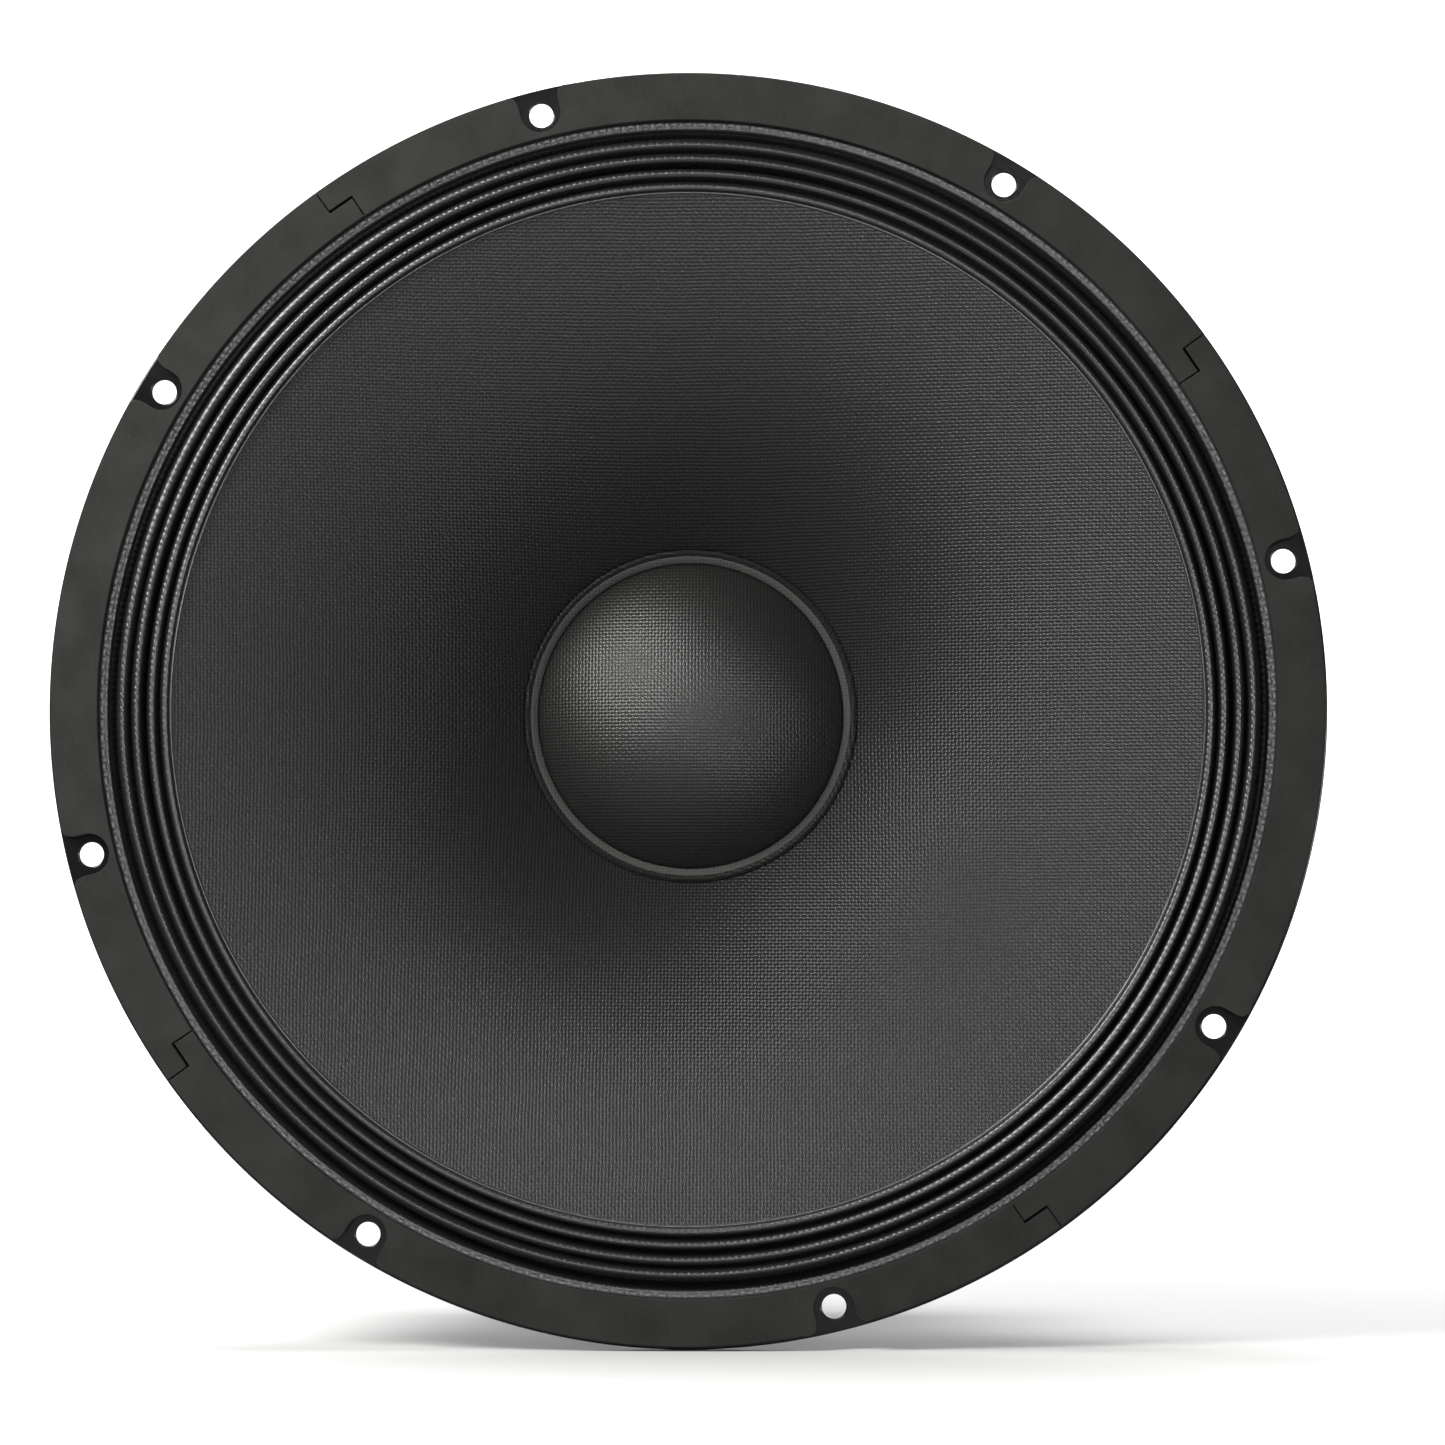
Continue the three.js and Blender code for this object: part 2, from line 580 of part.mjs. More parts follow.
const BOARD_BASE_Z = 0.2;
const BOARD_TOP_Z = 1.8;
const POST_TOP_Z = 9.5;
const POST_R = 3.4;
const POST_FLANGE_R = 4.8;
const POST_SHANK_R = 1.9;
const POST_BORE_R = 2.3;
const WIRE_HOLE_R = 1.2;
const RIVET_HEAD_R = 3;
const CAP_SKIRT_R = 5.2;
const CAP_BORE_R = 3.6;
const SPRING_COIL_R = 1.5;
const SPRING_WIRE_R = 0.25;
const SPRING_TURNS = 5;
const LUG_Z = -1.1; // underside of a lug's ring
const LUG_RING_R = 3.5;
const LUG_HALF = 2.2;
const LUG_THICK = 0.7;
const LUG_REACH = 9;
const LUG_TAB_Y = 3.6;

/** A helical spring wire about the terminal's Z axis. */
class SpringCurve extends THREE.Curve {
  constructor(radius, turns, fromZ, toZ) {
    super();
    Object.assign(this, { radius, turns, fromZ, toZ });
  }

  getPoint(share, target = new THREE.Vector3()) {
    const turn = share * this.turns * 2 * Math.PI;
    const z = this.fromZ + share * (this.toZ - this.fromZ);
    return target.set(this.radius * Math.cos(turn), this.radius * Math.sin(turn), z);
  }
}

/** A hollow metal post, flanged on the board, with a cross hole for the wire and a shank peened over the lug. */
function postSolid() {
  const flange = barZ(POST_FLANGE_R, BOARD_TOP_Z + GAP, BOARD_TOP_Z + 1.2, 20);
  const body = barZ(POST_R, BOARD_TOP_Z + 1, POST_TOP_Z, 20);
  const shank = barZ(POST_SHANK_R, LUG_Z - 0.4, BOARD_TOP_Z + 0.3, 12);
  const peen = barZ(3, LUG_Z - 1.1, LUG_Z - 2 * GAP, 12);
  const bore = barZ(POST_BORE_R, BOARD_TOP_Z + 4.2, POST_TOP_Z + 1, 16);
  const wireHole = solidOf(new THREE.CylinderGeometry(WIRE_HOLE_R, WIRE_HOLE_R, 12, 12));
  return flange.add(body).add(shank).add(peen).subtract(bore).subtract(wireHole.translate([0, 0, BOARD_TOP_Z + 2.6]));
}

/** A hollow cap that slides on the post, over the spring. */
function buttonSolid() {
  const baseZ = POST_TOP_Z - 2.2;
  const skirt = barZ(CAP_SKIRT_R, baseZ, POST_TOP_Z + BUTTON_TRAVEL + 2.6, 24);
  const hollow = barZ(CAP_BORE_R, baseZ - 1, POST_TOP_Z + BUTTON_TRAVEL + 0.6, 20);
  return skirt.subtract(hollow);
}

/** A ring under the board with a tab bent inwards, which the lead is soldered to. */
function lugSolid() {
  const topZ = LUG_Z + LUG_THICK;
  const ring = barZ(LUG_RING_R, LUG_Z, topZ, 16);
  const neck = block([-LUG_HALF, 0, LUG_Z], [LUG_HALF, LUG_TAB_Y + LUG_THICK, topZ]);
  const tab = block([-LUG_HALF, LUG_TAB_Y, -LUG_REACH], [LUG_HALF, LUG_TAB_Y + LUG_THICK, topZ]);
  const eye = solidOf(new THREE.CylinderGeometry(0.9, 0.9, 4, 10)).translate([0, LUG_TAB_Y, 2 - LUG_REACH]);
  return ring.add(neck).add(tab).subtract(barZ(POST_HOLE_R, LUG_Z - 2, 1, 12)).subtract(eye);
}

function makeTerminals() {
  const pad = new THREE.Group();
  pad.applyMatrix4(terminalMatrix);
  loudspeaker.add(pad);

  const [boardX, boardY] = BOARD_HALF;
  let board = block([-boardX, -boardY, BOARD_BASE_Z], [boardX, boardY, BOARD_TOP_Z]);
  for (const x of [-POST_HALF_SPACING, POST_HALF_SPACING]) board = board.subtract(barZ(POST_HOLE_R, -1, 3, 12, x));
  for (const x of [-RIVET_X, RIVET_X]) board = board.subtract(barZ(RIVET_HOLE_R, -1, 3, 12, x));
  add("terminal_board", board, FINISHES.phenolic, pad);

  [-RIVET_X, RIVET_X].forEach((x, i) => {
    const head = barZ(RIVET_HEAD_R, BOARD_TOP_Z + GAP, BOARD_TOP_Z + 1.3, 14, x);
    const shank = barZ(RIVET_HOLE_R - 3 * GAP, -2, BOARD_TOP_Z + 0.5, 12, x);
    const tail = barZ(RIVET_HEAD_R - 0.2, -SHEET - 1.1, -SHEET - GAP, 14, x);
    add(`terminal_rivet_${i + 1}`, head.add(shank).add(tail), FINISHES.nickel, pad);
  });

  const sides = [
    { name: "positive", x: -POST_HALF_SPACING, plastic: FINISHES.redPlastic },
    { name: "negative", x: POST_HALF_SPACING, plastic: FINISHES.blackPlastic },
  ];
  const helix = new SpringCurve(SPRING_COIL_R, SPRING_TURNS, BOARD_TOP_Z + 4.6, POST_TOP_Z + BUTTON_TRAVEL + 0.2);
  const spring = rod(helix, SPRING_WIRE_R, 4, 40);
  for (const { name, x, plastic } of sides) {
    const side = new THREE.Group();
    side.position.x = x;
    pad.add(side);
    add(`terminal_post_${name}`, postSolid(), FINISHES.nickel, side);
    add(`terminal_button_${name}`, buttonSolid(), plastic, side);
    add(`terminal_spring_${name}`, spring, FINISHES.nickel, side);
    add(`solder_lug_${name}`, lugSolid(), FINISHES.nickel, side);
  }
}

// ---- flexible leads -----------------------------------------------------------------------------------------------

/** The route of one braided lead: [radius, y, degrees off the arm's middle line], from its lug to the coil former. */
const LEAD_ROUTE = [
  [98.6, 29.2, 4.9],
  [95.2, 28.0, 5.6],
  [90.4, 29.4, 6.8],
  [84.0, 33.6, 8.6],
  [77.0, 39.4, 10.4],
  [69.6, 45.6, 12.0],
  [62.0, 51.2, 13.6],
  [54.2, 55.4, 15.4],
  [46.4, 57.8, 17.6],
  [39.6, 58.9, 20.0],
  [34.4, 59.8, 22.0],
];

function makeLeads() {
  for (const [name, sign] of [["positive", 1], ["negative", -1]]) {
    const points = LEAD_ROUTE.map(([radius, y, off]) => {
      const angle = rad(TERMINAL_DEG + sign * off);
      return new THREE.Vector3(radius * Math.cos(angle), y, radius * Math.sin(angle));
    });
    add(`tinsel_lead_${name}`, rod(new THREE.CatmullRomCurve3(points), LEAD_R, 8, 26), FINISHES.braid);
  }
}

makeBasket();
makeGasket();
makeSurround();
makeCone();
makeDustCap();
makeCoil();
makeSpider();
makeMotor();
makeTerminals();
makeLeads();

export default loudspeaker;
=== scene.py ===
"""The looks of a 12-inch cone loudspeaker driver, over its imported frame.

Sizes are in millimetres and meshes are in metres. The driver's axis is Y, its front faces -Y, and +Z is up. Angles
round the axis run from +X towards +Z.
"""

from __future__ import annotations

import logging
from dataclasses import dataclass, field
from enum import Enum

import bmesh
import bpy
import numpy as np
from mathutils import Matrix, Vector


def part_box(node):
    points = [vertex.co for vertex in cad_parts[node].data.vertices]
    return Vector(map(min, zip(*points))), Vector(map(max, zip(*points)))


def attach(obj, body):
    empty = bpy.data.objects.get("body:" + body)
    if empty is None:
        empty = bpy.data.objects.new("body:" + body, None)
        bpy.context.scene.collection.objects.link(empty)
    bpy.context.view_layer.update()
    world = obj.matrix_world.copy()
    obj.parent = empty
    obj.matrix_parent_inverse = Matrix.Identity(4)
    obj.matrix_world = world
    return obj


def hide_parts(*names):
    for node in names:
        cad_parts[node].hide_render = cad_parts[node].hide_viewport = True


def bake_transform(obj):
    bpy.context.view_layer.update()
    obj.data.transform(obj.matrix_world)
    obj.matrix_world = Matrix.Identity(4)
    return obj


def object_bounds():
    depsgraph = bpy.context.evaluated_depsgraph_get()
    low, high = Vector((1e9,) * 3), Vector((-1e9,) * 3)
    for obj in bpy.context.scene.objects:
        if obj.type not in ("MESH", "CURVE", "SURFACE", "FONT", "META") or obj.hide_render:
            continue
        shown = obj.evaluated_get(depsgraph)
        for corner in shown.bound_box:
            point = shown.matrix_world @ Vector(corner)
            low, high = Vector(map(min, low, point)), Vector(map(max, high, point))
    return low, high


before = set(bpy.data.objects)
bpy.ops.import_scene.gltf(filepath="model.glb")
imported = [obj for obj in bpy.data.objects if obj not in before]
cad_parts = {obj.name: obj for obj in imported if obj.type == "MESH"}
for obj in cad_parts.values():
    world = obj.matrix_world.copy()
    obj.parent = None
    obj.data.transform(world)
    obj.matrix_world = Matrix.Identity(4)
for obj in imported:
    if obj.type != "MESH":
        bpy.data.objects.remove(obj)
CAD_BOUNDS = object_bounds()

MM = 0.001
TURN = 2 * np.pi
FRAME_BODY = "frame"
CONE_BODY = "cone_assembly"
SHARP = 40.0  # degrees past which an edge stays sharp
MAP_RADIUS = 130.0  # where a turned piece's own map is true to scale
WHITE = (1.0, 1.0, 1.0, 1.0)
log = logging.getLogger("loudspeaker")

Array = np.ndarray
Piece = bpy.types.Object
Node = bpy.types.Node
Socket = bpy.types.NodeSocket
Tree = bpy.types.NodeTree
Material = bpy.types.Material
Mesh = bpy.types.Mesh
Colour = tuple[float, float, float]


# ---- meshes ----


def polar(radius: Array, angle: Array, y: Array) -> Array:
    """Points at a radius, an angle and a depth: (radius cos angle, y, radius sin angle)."""
    radius, angle, y = np.broadcast_arrays(radius, angle, y)
    return np.stack([radius * np.cos(angle), y, radius * np.sin(angle)], axis=-1)


def smoothstep(share: Array) -> Array:
    """The ease curve 3t^2 - 2t^3 of a share held between 0 and 1."""
    held = np.clip(share, 0, 1)
    return held * held * (3 - 2 * held)


def bend(start: Array, corner: Array, end: Array, t: Array) -> Array:
    """The quadratic curve (1-t)^2 start + 2t(1-t) corner + t^2 end."""
    return (1 - t) ** 2 * start + 2 * t * (1 - t) * corner + t**2 * end


def unit(vectors: Array) -> Array:
    """Vectors scaled to a length of 1."""
    return vectors / np.linalg.norm(vectors, axis=-1, keepdims=True)


def even_turn(count: int) -> Array:
    """Angles at even steps round a turn, in radians."""
    return np.arange(count) * TURN / count


def lengths(path: Array) -> Array:
    """How far along a path each of its points lies."""
    return np.concatenate([[0], np.cumsum(np.linalg.norm(np.diff(path, axis=0), axis=1))])


def stationed(path: Array, stations: Array) -> Array:
    """The points of a path of [radius, y] that lie at given distances along it."""
    along = lengths(path)
    return np.stack([np.interp(stations, along, path[:, k]) for k in (0, 1)], axis=-1)


def placed(name: str, data: bpy.types.ID) -> Piece:
    """An object for a mesh, curve, light or camera, linked to the scene."""
    made = bpy.data.objects.new(name, data)
    bpy.context.scene.collection.objects.link(made)
    return made


def arc(radius: float, angle: Array) -> Array:
    """[x, z] points at a radius and given angles."""
    return polar(radius, angle, 0.0)[:, ::2]


def outward(mesh: Mesh) -> None:
    """Merges doubled vertices, drops collapsed faces and points every face outwards."""
    work = bmesh.new()
    work.from_mesh(mesh)
    bmesh.ops.remove_doubles(work, verts=work.verts, dist=1e-6)
    bmesh.ops.dissolve_degenerate(work, edges=work.edges, dist=1e-7)
    bmesh.ops.recalc_face_normals(work, faces=work.faces)
    work.to_mesh(mesh)
    work.free()


def grid_piece(
    name: str,
    points: Array,
    uv: Array | None = None,
    *,
    round_rows: bool = True,
    round_columns: bool = True,
    keep: Array | None = None,
    sharp: float = SHARP,
) -> Piece:
    """A piece from a surface of two parameters, sampled on a grid.

    Corner (i, j) of the grid joins (i, j + 1), (i + 1, j + 1) and (i + 1, j) in one face. A round direction joins
    its last sample to its first.

    Args:
        name: The piece's name.
        points: Positions in millimetres, of shape (rows, columns, 3).
        uv: Positions in the piece's own map, in metres, of shape (faces down + 1, faces across + 1, 2).
        round_rows: Whether the last row joins the first.
        round_columns: Whether the last column joins the first.
        keep: Which faces are made, of shape (faces down, faces across). All of them where it is left out.
        sharp: Edges that turn by more than this many degrees stay sharp.

    Returns:
        The piece, at the origin, with its place in its mesh.
    """
    rows, columns = points.shape[:2]
    down = rows if round_rows else rows - 1
    across = columns if round_columns else columns - 1
    i, j = np.meshgrid(np.arange(down), np.arange(across), indexing="ij")
    i2, j2 = (i + 1) % rows, (j + 1) % columns
    corners = np.stack([i * columns + j, i * columns + j2, i2 * columns + j2, i2 * columns + j], axis=-1)
    made = np.ones((down, across), bool) if keep is None else keep
    faces = corners[made]
    mesh = bpy.data.meshes.new(name)
    mesh.vertices.add(rows * columns)
    mesh.vertices.foreach_set("co", (points.reshape(-1) * MM).astype(np.float32))
    mesh.loops.add(faces.size)
    mesh.loops.foreach_set("vertex_index", faces.reshape(-1).astype(np.int32))
    mesh.polygons.add(len(faces))
    mesh.polygons.foreach_set("loop_start", np.arange(0, faces.size, 4, dtype=np.int32))
    mesh.update(calc_edges=True)
    if uv is not None:
        spread = np.stack([uv[:-1, :-1], uv[:-1, 1:], uv[1:, 1:], uv[1:, :-1]], axis=2)
        layer = mesh.uv_layers.new(name="UVMap")
        layer.data.foreach_set("uv", spread[made].reshape(-1).astype(np.float32))
    outward(mesh)
    return finished(name, mesh, sharp)


def finished(name: str, mesh: Mesh, sharp: float = SHARP) -> Piece:
    """An object for a finished mesh, shaded smooth but for edges sharper than an angle in degrees."""
    mesh.shade_smooth()
    mesh.set_sharp_from_angle(angle=np.radians(sharp))
    return placed(name, mesh)


def rounded(corners: list[tuple[float, float, float]], closed: bool = True, steps: int = 5) -> Array:
    """A profile whose corners are rounded by short curves.

    Each corner is left along its first side at its rounding distance, by the quadratic curve
    (1-t)^2 a + 2t(1-t) corner + t^2 b, and a further point beyond each end keeps the flat beside it flat.

    Args:
        corners: (radius, y, rounding distance) for each corner.
        closed: Whether the last corner joins the first.
        steps: How many pieces each curve has.

    Returns:
        Points of shape (n, 2).
    """
    places = np.array([c[:2] for c in corners], float)
    parts = []
    beyond = 0.25
    t = np.linspace(0, 1, steps + 1)[:, None]
    for k, (place, (_, _, reach)) in enumerate(zip(places, corners)):
        at_end = not closed and k in (0, len(corners) - 1)
        if reach == 0 or at_end:
            parts.append(place[None])
            continue
        a = place + unit(places[k - 1] - place) * reach
        b = place + unit(places[(k + 1) % len(places)] - place) * reach
        parts.append(np.vstack([a + (a - place) * beyond, bend(a, place, b, t), b + (b - place) * beyond]))
    return np.vstack(parts)


def spaced(path: Array, step: float) -> Array:
    """A path of [radius, y] points sampled again at equal steps along its length."""
    total = lengths(path)[-1]
    return stationed(path, np.linspace(0, total, max(2, int(np.ceil(total / step)) + 1)))


def sheet_loop(path: Array, thickness: float) -> Array:
    """The closed outline of a sheet: a path moved half the thickness along its normals to each side."""
    slope = unit(np.gradient(path, axis=0))
    normal = np.stack([slope[:, 1], -slope[:, 0]], axis=-1)
    half = normal * thickness / 2
    loop = np.vstack([path + half, (path - half)[::-1]])
    loop[:, 0] = np.maximum(loop[:, 0], 0)
    return loop


def turned(name: str, outline: Array, columns: int = 256, sharp: float = SHARP) -> Piece:
    """A piece turned about the axis from a closed outline of [radius, y] points: radius (cos a, sin a) for a in a turn.

    Its own map holds the angle times MAP_RADIUS across, and the length along the outline down, in metres.
    """
    points = polar(outline[:, :1], even_turn(columns)[None], outline[:, 1:])
    along = lengths(np.vstack([outline, outline[:1]]))
    across = np.linspace(0, TURN, columns + 1) * MAP_RADIUS
    uv = np.stack(np.broadcast_arrays(across[None], along[:, None]), axis=-1) * MM
    return grid_piece(name, points, uv, sharp=sharp)


def plate(
    name: str, outlines: list[Array], front: float, rear: float, edge: float, place: Matrix | None = None
) -> Piece:
    """A flat plate with holes and softened edges.

    Args:
        name: The piece's name.
        outlines: Closed outlines of [x, z] points in millimetres, the outer one and any holes.
        front: The front face's y in millimetres.
        rear: The rear face's y.
        edge: How far the edges are rounded.
        place: Where the plate goes, when it isn't across the driver's axis. It then takes [x, y] outlines, and
            front and rear are its faces' heights along its own z.

    Returns:
        The piece.
    """
    curve = bpy.data.curves.new(name, "CURVE")
    curve.dimensions = "2D"
    curve.fill_mode = "BOTH"
    curve.extrude = (abs(rear - front) / 2 - edge) * MM
    curve.bevel_depth = edge * MM
    curve.bevel_resolution = 2
    curve.offset = -edge * MM
    for outline in outlines:
        spline = curve.splines.new("POLY")
        spline.points.add(len(outline) - 1)
        corners = np.zeros((len(outline), 4))
        corners[:, :2] = outline * MM
        corners[:, 3] = 1
        spline.points.foreach_set("co", corners.reshape(-1))
        spline.use_cyclic_u = True
    flat = placed(name, curve)
    bpy.context.view_layer.update()
    mesh = bpy.data.meshes.new_from_object(flat.evaluated_get(bpy.context.evaluated_depsgraph_get()))
    bpy.data.objects.remove(flat)
    middle = (front + rear) / 2 * MM
    across = Matrix.Translation((0, middle, 0)) @ Matrix.Rotation(np.pi / 2, 4, "X")
    mesh.transform(across if place is None else place @ Matrix.Translation((0, 0, middle)))
    outward(mesh)
    mesh.name = name
    piece = finished(name, mesh)
    normals = np.empty(len(mesh.polygons) * 3, np.float32)
    mesh.polygons.foreach_get("normal", normals)
    across_plate = np.array((0.0, 1.0, 0.0) if place is None else place.col[2][:3], np.float32)
    flatness = 0.999
    mesh.polygons.foreach_set("use_smooth", np.abs(normals.reshape(-1, 3) @ across_plate) < flatness)
    return piece


def circle(radius: float, centre: tuple[float, float] = (0, 0), count: int = 256) -> Array:
    """A closed circle of [x, z] points."""
    return np.array(centre) + arc(radius, even_turn(count))


def tube_piece(name: str, route: Array, radius: float, reference: Array, sides: int = 16) -> Piece:
    """A round tube carried along a route.

    At each point the section is radius (n cos a + b sin a), where n is the tangent crossed with a reference
    direction and b is the tangent crossed with n. Its map runs slantwise, (s + w, s - w), for a braid.
    """
    tangent = unit(np.gradient(route, axis=0))
    normal = unit(np.cross(tangent, reference))
    binormal = np.cross(tangent, normal)
    angle = even_turn(sides)
    ring = normal[:, None] * np.cos(angle)[None, :, None] + binormal[:, None] * np.sin(angle)[None, :, None]
    points = route[:, None] + radius * ring
    closed = np.concatenate([route[:1, None].repeat(sides, 1), points, route[-1:, None].repeat(sides, 1)])
    along = lengths(route)
    along = np.concatenate([[0], along, along[-1:]])[:, None]
    across = (np.arange(sides + 1) * TURN / sides * radius)[None]
    uv = np.stack([along + across, along - across], axis=-1) * MM
    return grid_piece(name, closed, uv, round_rows=False)


def inward_share(piece: Piece, outer: float, inner: float) -> Array:
    """Each vertex's share of the way in from an outer radius to an inner one, in millimetres."""
    flat = np.empty(len(piece.data.vertices) * 3, np.float32)
    piece.data.vertices.foreach_get("co", flat)
    reach = np.hypot(*(flat.reshape(-1, 3) / MM)[:, ::2].T)
    return (outer - reach) / (outer - inner)


# ---- shared shader groups ----


class Graph:
    """A node tree with short calls for adding and joining nodes."""

    def __init__(self, tree: Tree) -> None:
        """Keeps the tree that nodes are added to."""
        self.tree = tree

    def node(self, kind: str, **settings: object) -> Node:
        """Adds a node and sets its properties."""
        made = self.tree.nodes.new(kind)
        for key, value in settings.items():
            setattr(made, key, value)
        return made

    def put(self, socket: Socket, value: object) -> None:
        """Joins an input to a socket, or sets its plain value."""
        if isinstance(value, Socket):
            self.tree.links.new(value, socket)
        else:
            socket.default_value = value

    def feed(self, node: Node, **inputs: object) -> Node:
        """Joins or sets a node's inputs, named with _ for a space."""
        for key, value in inputs.items():
            self.put(node.inputs[key.replace("_", " ")], value)
        return node

    def worked(self, kind: str, operation: str, values: tuple[object, ...]) -> Node:
        """A node that works on the values put into its first inputs."""
        made = self.node(kind, operation=operation)
        for socket, value in zip(made.inputs, values):
            self.put(socket, value)
        return made

    def math(self, operation: str, *values: object) -> Socket:
        """A Math node's result from one to three sockets or numbers."""
        return self.worked("ShaderNodeMath", operation, values).outputs[0]

    def vectors(self, operation: str, *values: object) -> Node:
        """A Vector Math node on one or two vectors."""
        return self.worked("ShaderNodeVectorMath", operation, values)

    def times(self, value: object, factor: object) -> Socket:
        """value factor."""
        return self.math("MULTIPLY", value, factor)

    def linear(self, value: object, factor: object, start: object) -> Socket:
        """value factor + start."""
        return self.math("MULTIPLY_ADD", value, factor, start)

    def split(self, vector: Socket) -> list[Socket]:
        """A vector's x, y and z."""
        return list(self.feed(self.node("ShaderNodeSeparateXYZ"), Vector=vector).outputs)

    def from_axis(self, vector: Socket) -> Socket:
        """A position's distance from the driver's axis: sqrt(x^2 + z^2)."""
        x, _, z = self.split(vector)
        return self.math("SQRT", self.linear(z, z, self.times(x, x)))

    def noise(self, vector: Socket, scale: object, detail: float = 3.0) -> Socket:
        """A Noise Texture's value at a vector."""
        made = self.node("ShaderNodeTexNoise")
        self.feed(made, Vector=vector, Scale=scale, Detail=detail)
        return made.outputs[0]

    def mix(self, share: object, low: object, high: object) -> Socket:
        """A colour between two colours."""
        made = self.node("ShaderNodeMix", data_type="RGBA")
        for index, value in ((0, share), (6, low), (7, high)):
            self.put(made.inputs[index], value)
        return made.outputs[2]


def group_tree(name: str, inputs: dict[str, str], outputs: list[str]) -> tuple[Graph, dict, Node]:
    """A new shader group with named sockets.

    Args:
        name: The group's name.
        inputs: Each input's name and socket type.
        outputs: The names of its value outputs.

    Returns:
        The group's graph, its inputs' sockets by name, and its output node.
    """
    tree = bpy.data.node_groups.new(name, "ShaderNodeTree")
    for key, kind in inputs.items():
        tree.interface.new_socket(name=key, in_out="INPUT", socket_type=kind)
    for key in outputs:
        tree.interface.new_socket(name=key, in_out="OUTPUT", socket_type="NodeSocketFloat")
    graph = Graph(tree)
    entry = graph.node("NodeGroupInput")
    return graph, {key: entry.outputs[key] for key in inputs}, graph.node("NodeGroupOutput")


class Groups:
    """The shader groups that several finishes share, each built once."""

    made: dict[str, Tree] = {}

    @classmethod
    def get(cls, name: str) -> Tree:
        """The group of that name, built when it is first asked for."""
        if name not in cls.made:
            cls.made[name] = getattr(cls, name.lower())()
        return cls.made[name]

    @staticmethod
    def weave() -> Tree:
        """Plain weave: threads of round section that pass over and under each other at each crossing.

        With u and v in threads, p = sin(pi fract), and c = +1 or -1 in a chequer, the height is the larger of
        pu (1 + c pv) / 2 and pv (1 - c pu) / 2.
        """
        inputs = {"Vector": "NodeSocketVector", "Pitch": "NodeSocketFloat", "Waver": "NodeSocketFloat"}
        graph, given, out = group_tree("Weave", inputs, ["Height", "Shade"])
        drift = graph.node("ShaderNodeTexNoise")
        graph.feed(drift, Vector=given["Vector"], Scale=70.0, Detail=2.0)
        centred = graph.vectors("SUBTRACT", drift.outputs["Color"], (0.5, 0.5, 0.5))
        scaled = graph.vectors("SCALE", centred.outputs[0])
        graph.feed(scaled, Scale=graph.times(given["Waver"], given["Pitch"]))
        moved = graph.vectors("ADD", given["Vector"], scaled.outputs[0])
        u, v = (graph.math("DIVIDE", side, given["Pitch"]) for side in graph.split(moved.outputs[0])[:2])
        pu, pv = (graph.math("SINE", graph.times(graph.math("FRACT", side), np.pi)) for side in (u, v))
        cells = graph.math("ADD", graph.math("FLOOR", u), graph.math("FLOOR", v))
        chequer = graph.linear(graph.math("FRACT", graph.times(cells, 0.5)), 4.0, -1.0)
        over = graph.linear(graph.times(chequer, pv), 0.5, 0.5)
        under = graph.linear(graph.times(chequer, pu), -0.5, 0.5)
        height = graph.math("MAXIMUM", graph.times(pu, over), graph.times(pv, under))
        slub = graph.noise(given["Vector"], 1400.0, 1.0)
        # Shade: the height broken up by slub tone, which the cloths use for painted shade in the gaps between threads
        graph.feed(out, Height=height, Shade=graph.times(height, graph.math("ADD", slub, 0.5)))
        return graph.tree

    @staticmethod
    def grain() -> Tree:
        """Fine speckle over slow mottling, from two octaves of noise at a scale and a twelfth of it."""
        inputs = {"Vector": "NodeSocketVector", "Scale": "NodeSocketFloat"}
        graph, given, out = group_tree("Grain", inputs, ["Speckle", "Mottle"])
        graph.feed(
            out,
            Speckle=graph.noise(given["Vector"], given["Scale"], 4.0),
            Mottle=graph.noise(given["Vector"], graph.math("DIVIDE", given["Scale"], 12.0), 3.0),
        )
        return graph.tree

    @staticmethod
    def rings() -> Tree:
        """Turning marks: a sine of the distance from the axis, broken up by noise."""
        inputs = {"Vector": "NodeSocketVector", "Spacing": "NodeSocketFloat"}
        graph, given, out = group_tree("Rings", inputs, ["Height"])
        turns = graph.times(graph.from_axis(given["Vector"]), TURN)
        wave = graph.math("SINE", graph.math("DIVIDE", turns, given["Spacing"]))
        fine = graph.noise(given["Vector"], 900.0, 2.0)
        graph.feed(out, Height=graph.linear(wave, 0.5, fine))
        return graph.tree

    @staticmethod
    def dust() -> Tree:
        """A thin veil of dust on faces that look up, broken up by noise."""
        inputs = {"Vector": "NodeSocketVector", "Amount": "NodeSocketFloat"}
        graph, given, out = group_tree("Dust", inputs, ["Mask"])
        facing = graph.node("ShaderNodeNewGeometry").outputs["Normal"]
        upward = graph.math("MAXIMUM", graph.split(facing)[2], 0.0)
        specks = graph.math("SMOOTH_MIN", graph.noise(given["Vector"], 380.0, 6.0), 0.7, 0.1)
        mask = graph.times(graph.linear(upward, 0.8, 0.2), specks)
        graph.feed(out, Mask=graph.times(mask, given["Amount"]))
        return graph.tree


# ---- finishes ----


COAT_ROUGHNESS = 0.1
DUST_COLOUR = (0.32, 0.31, 0.29, 1.0)


class Lay(Enum):
    """Where a pattern's coordinates come from."""

    SQUARE = "across the driver's face, along X and Z"
    WRAPPED = "the piece's own map"


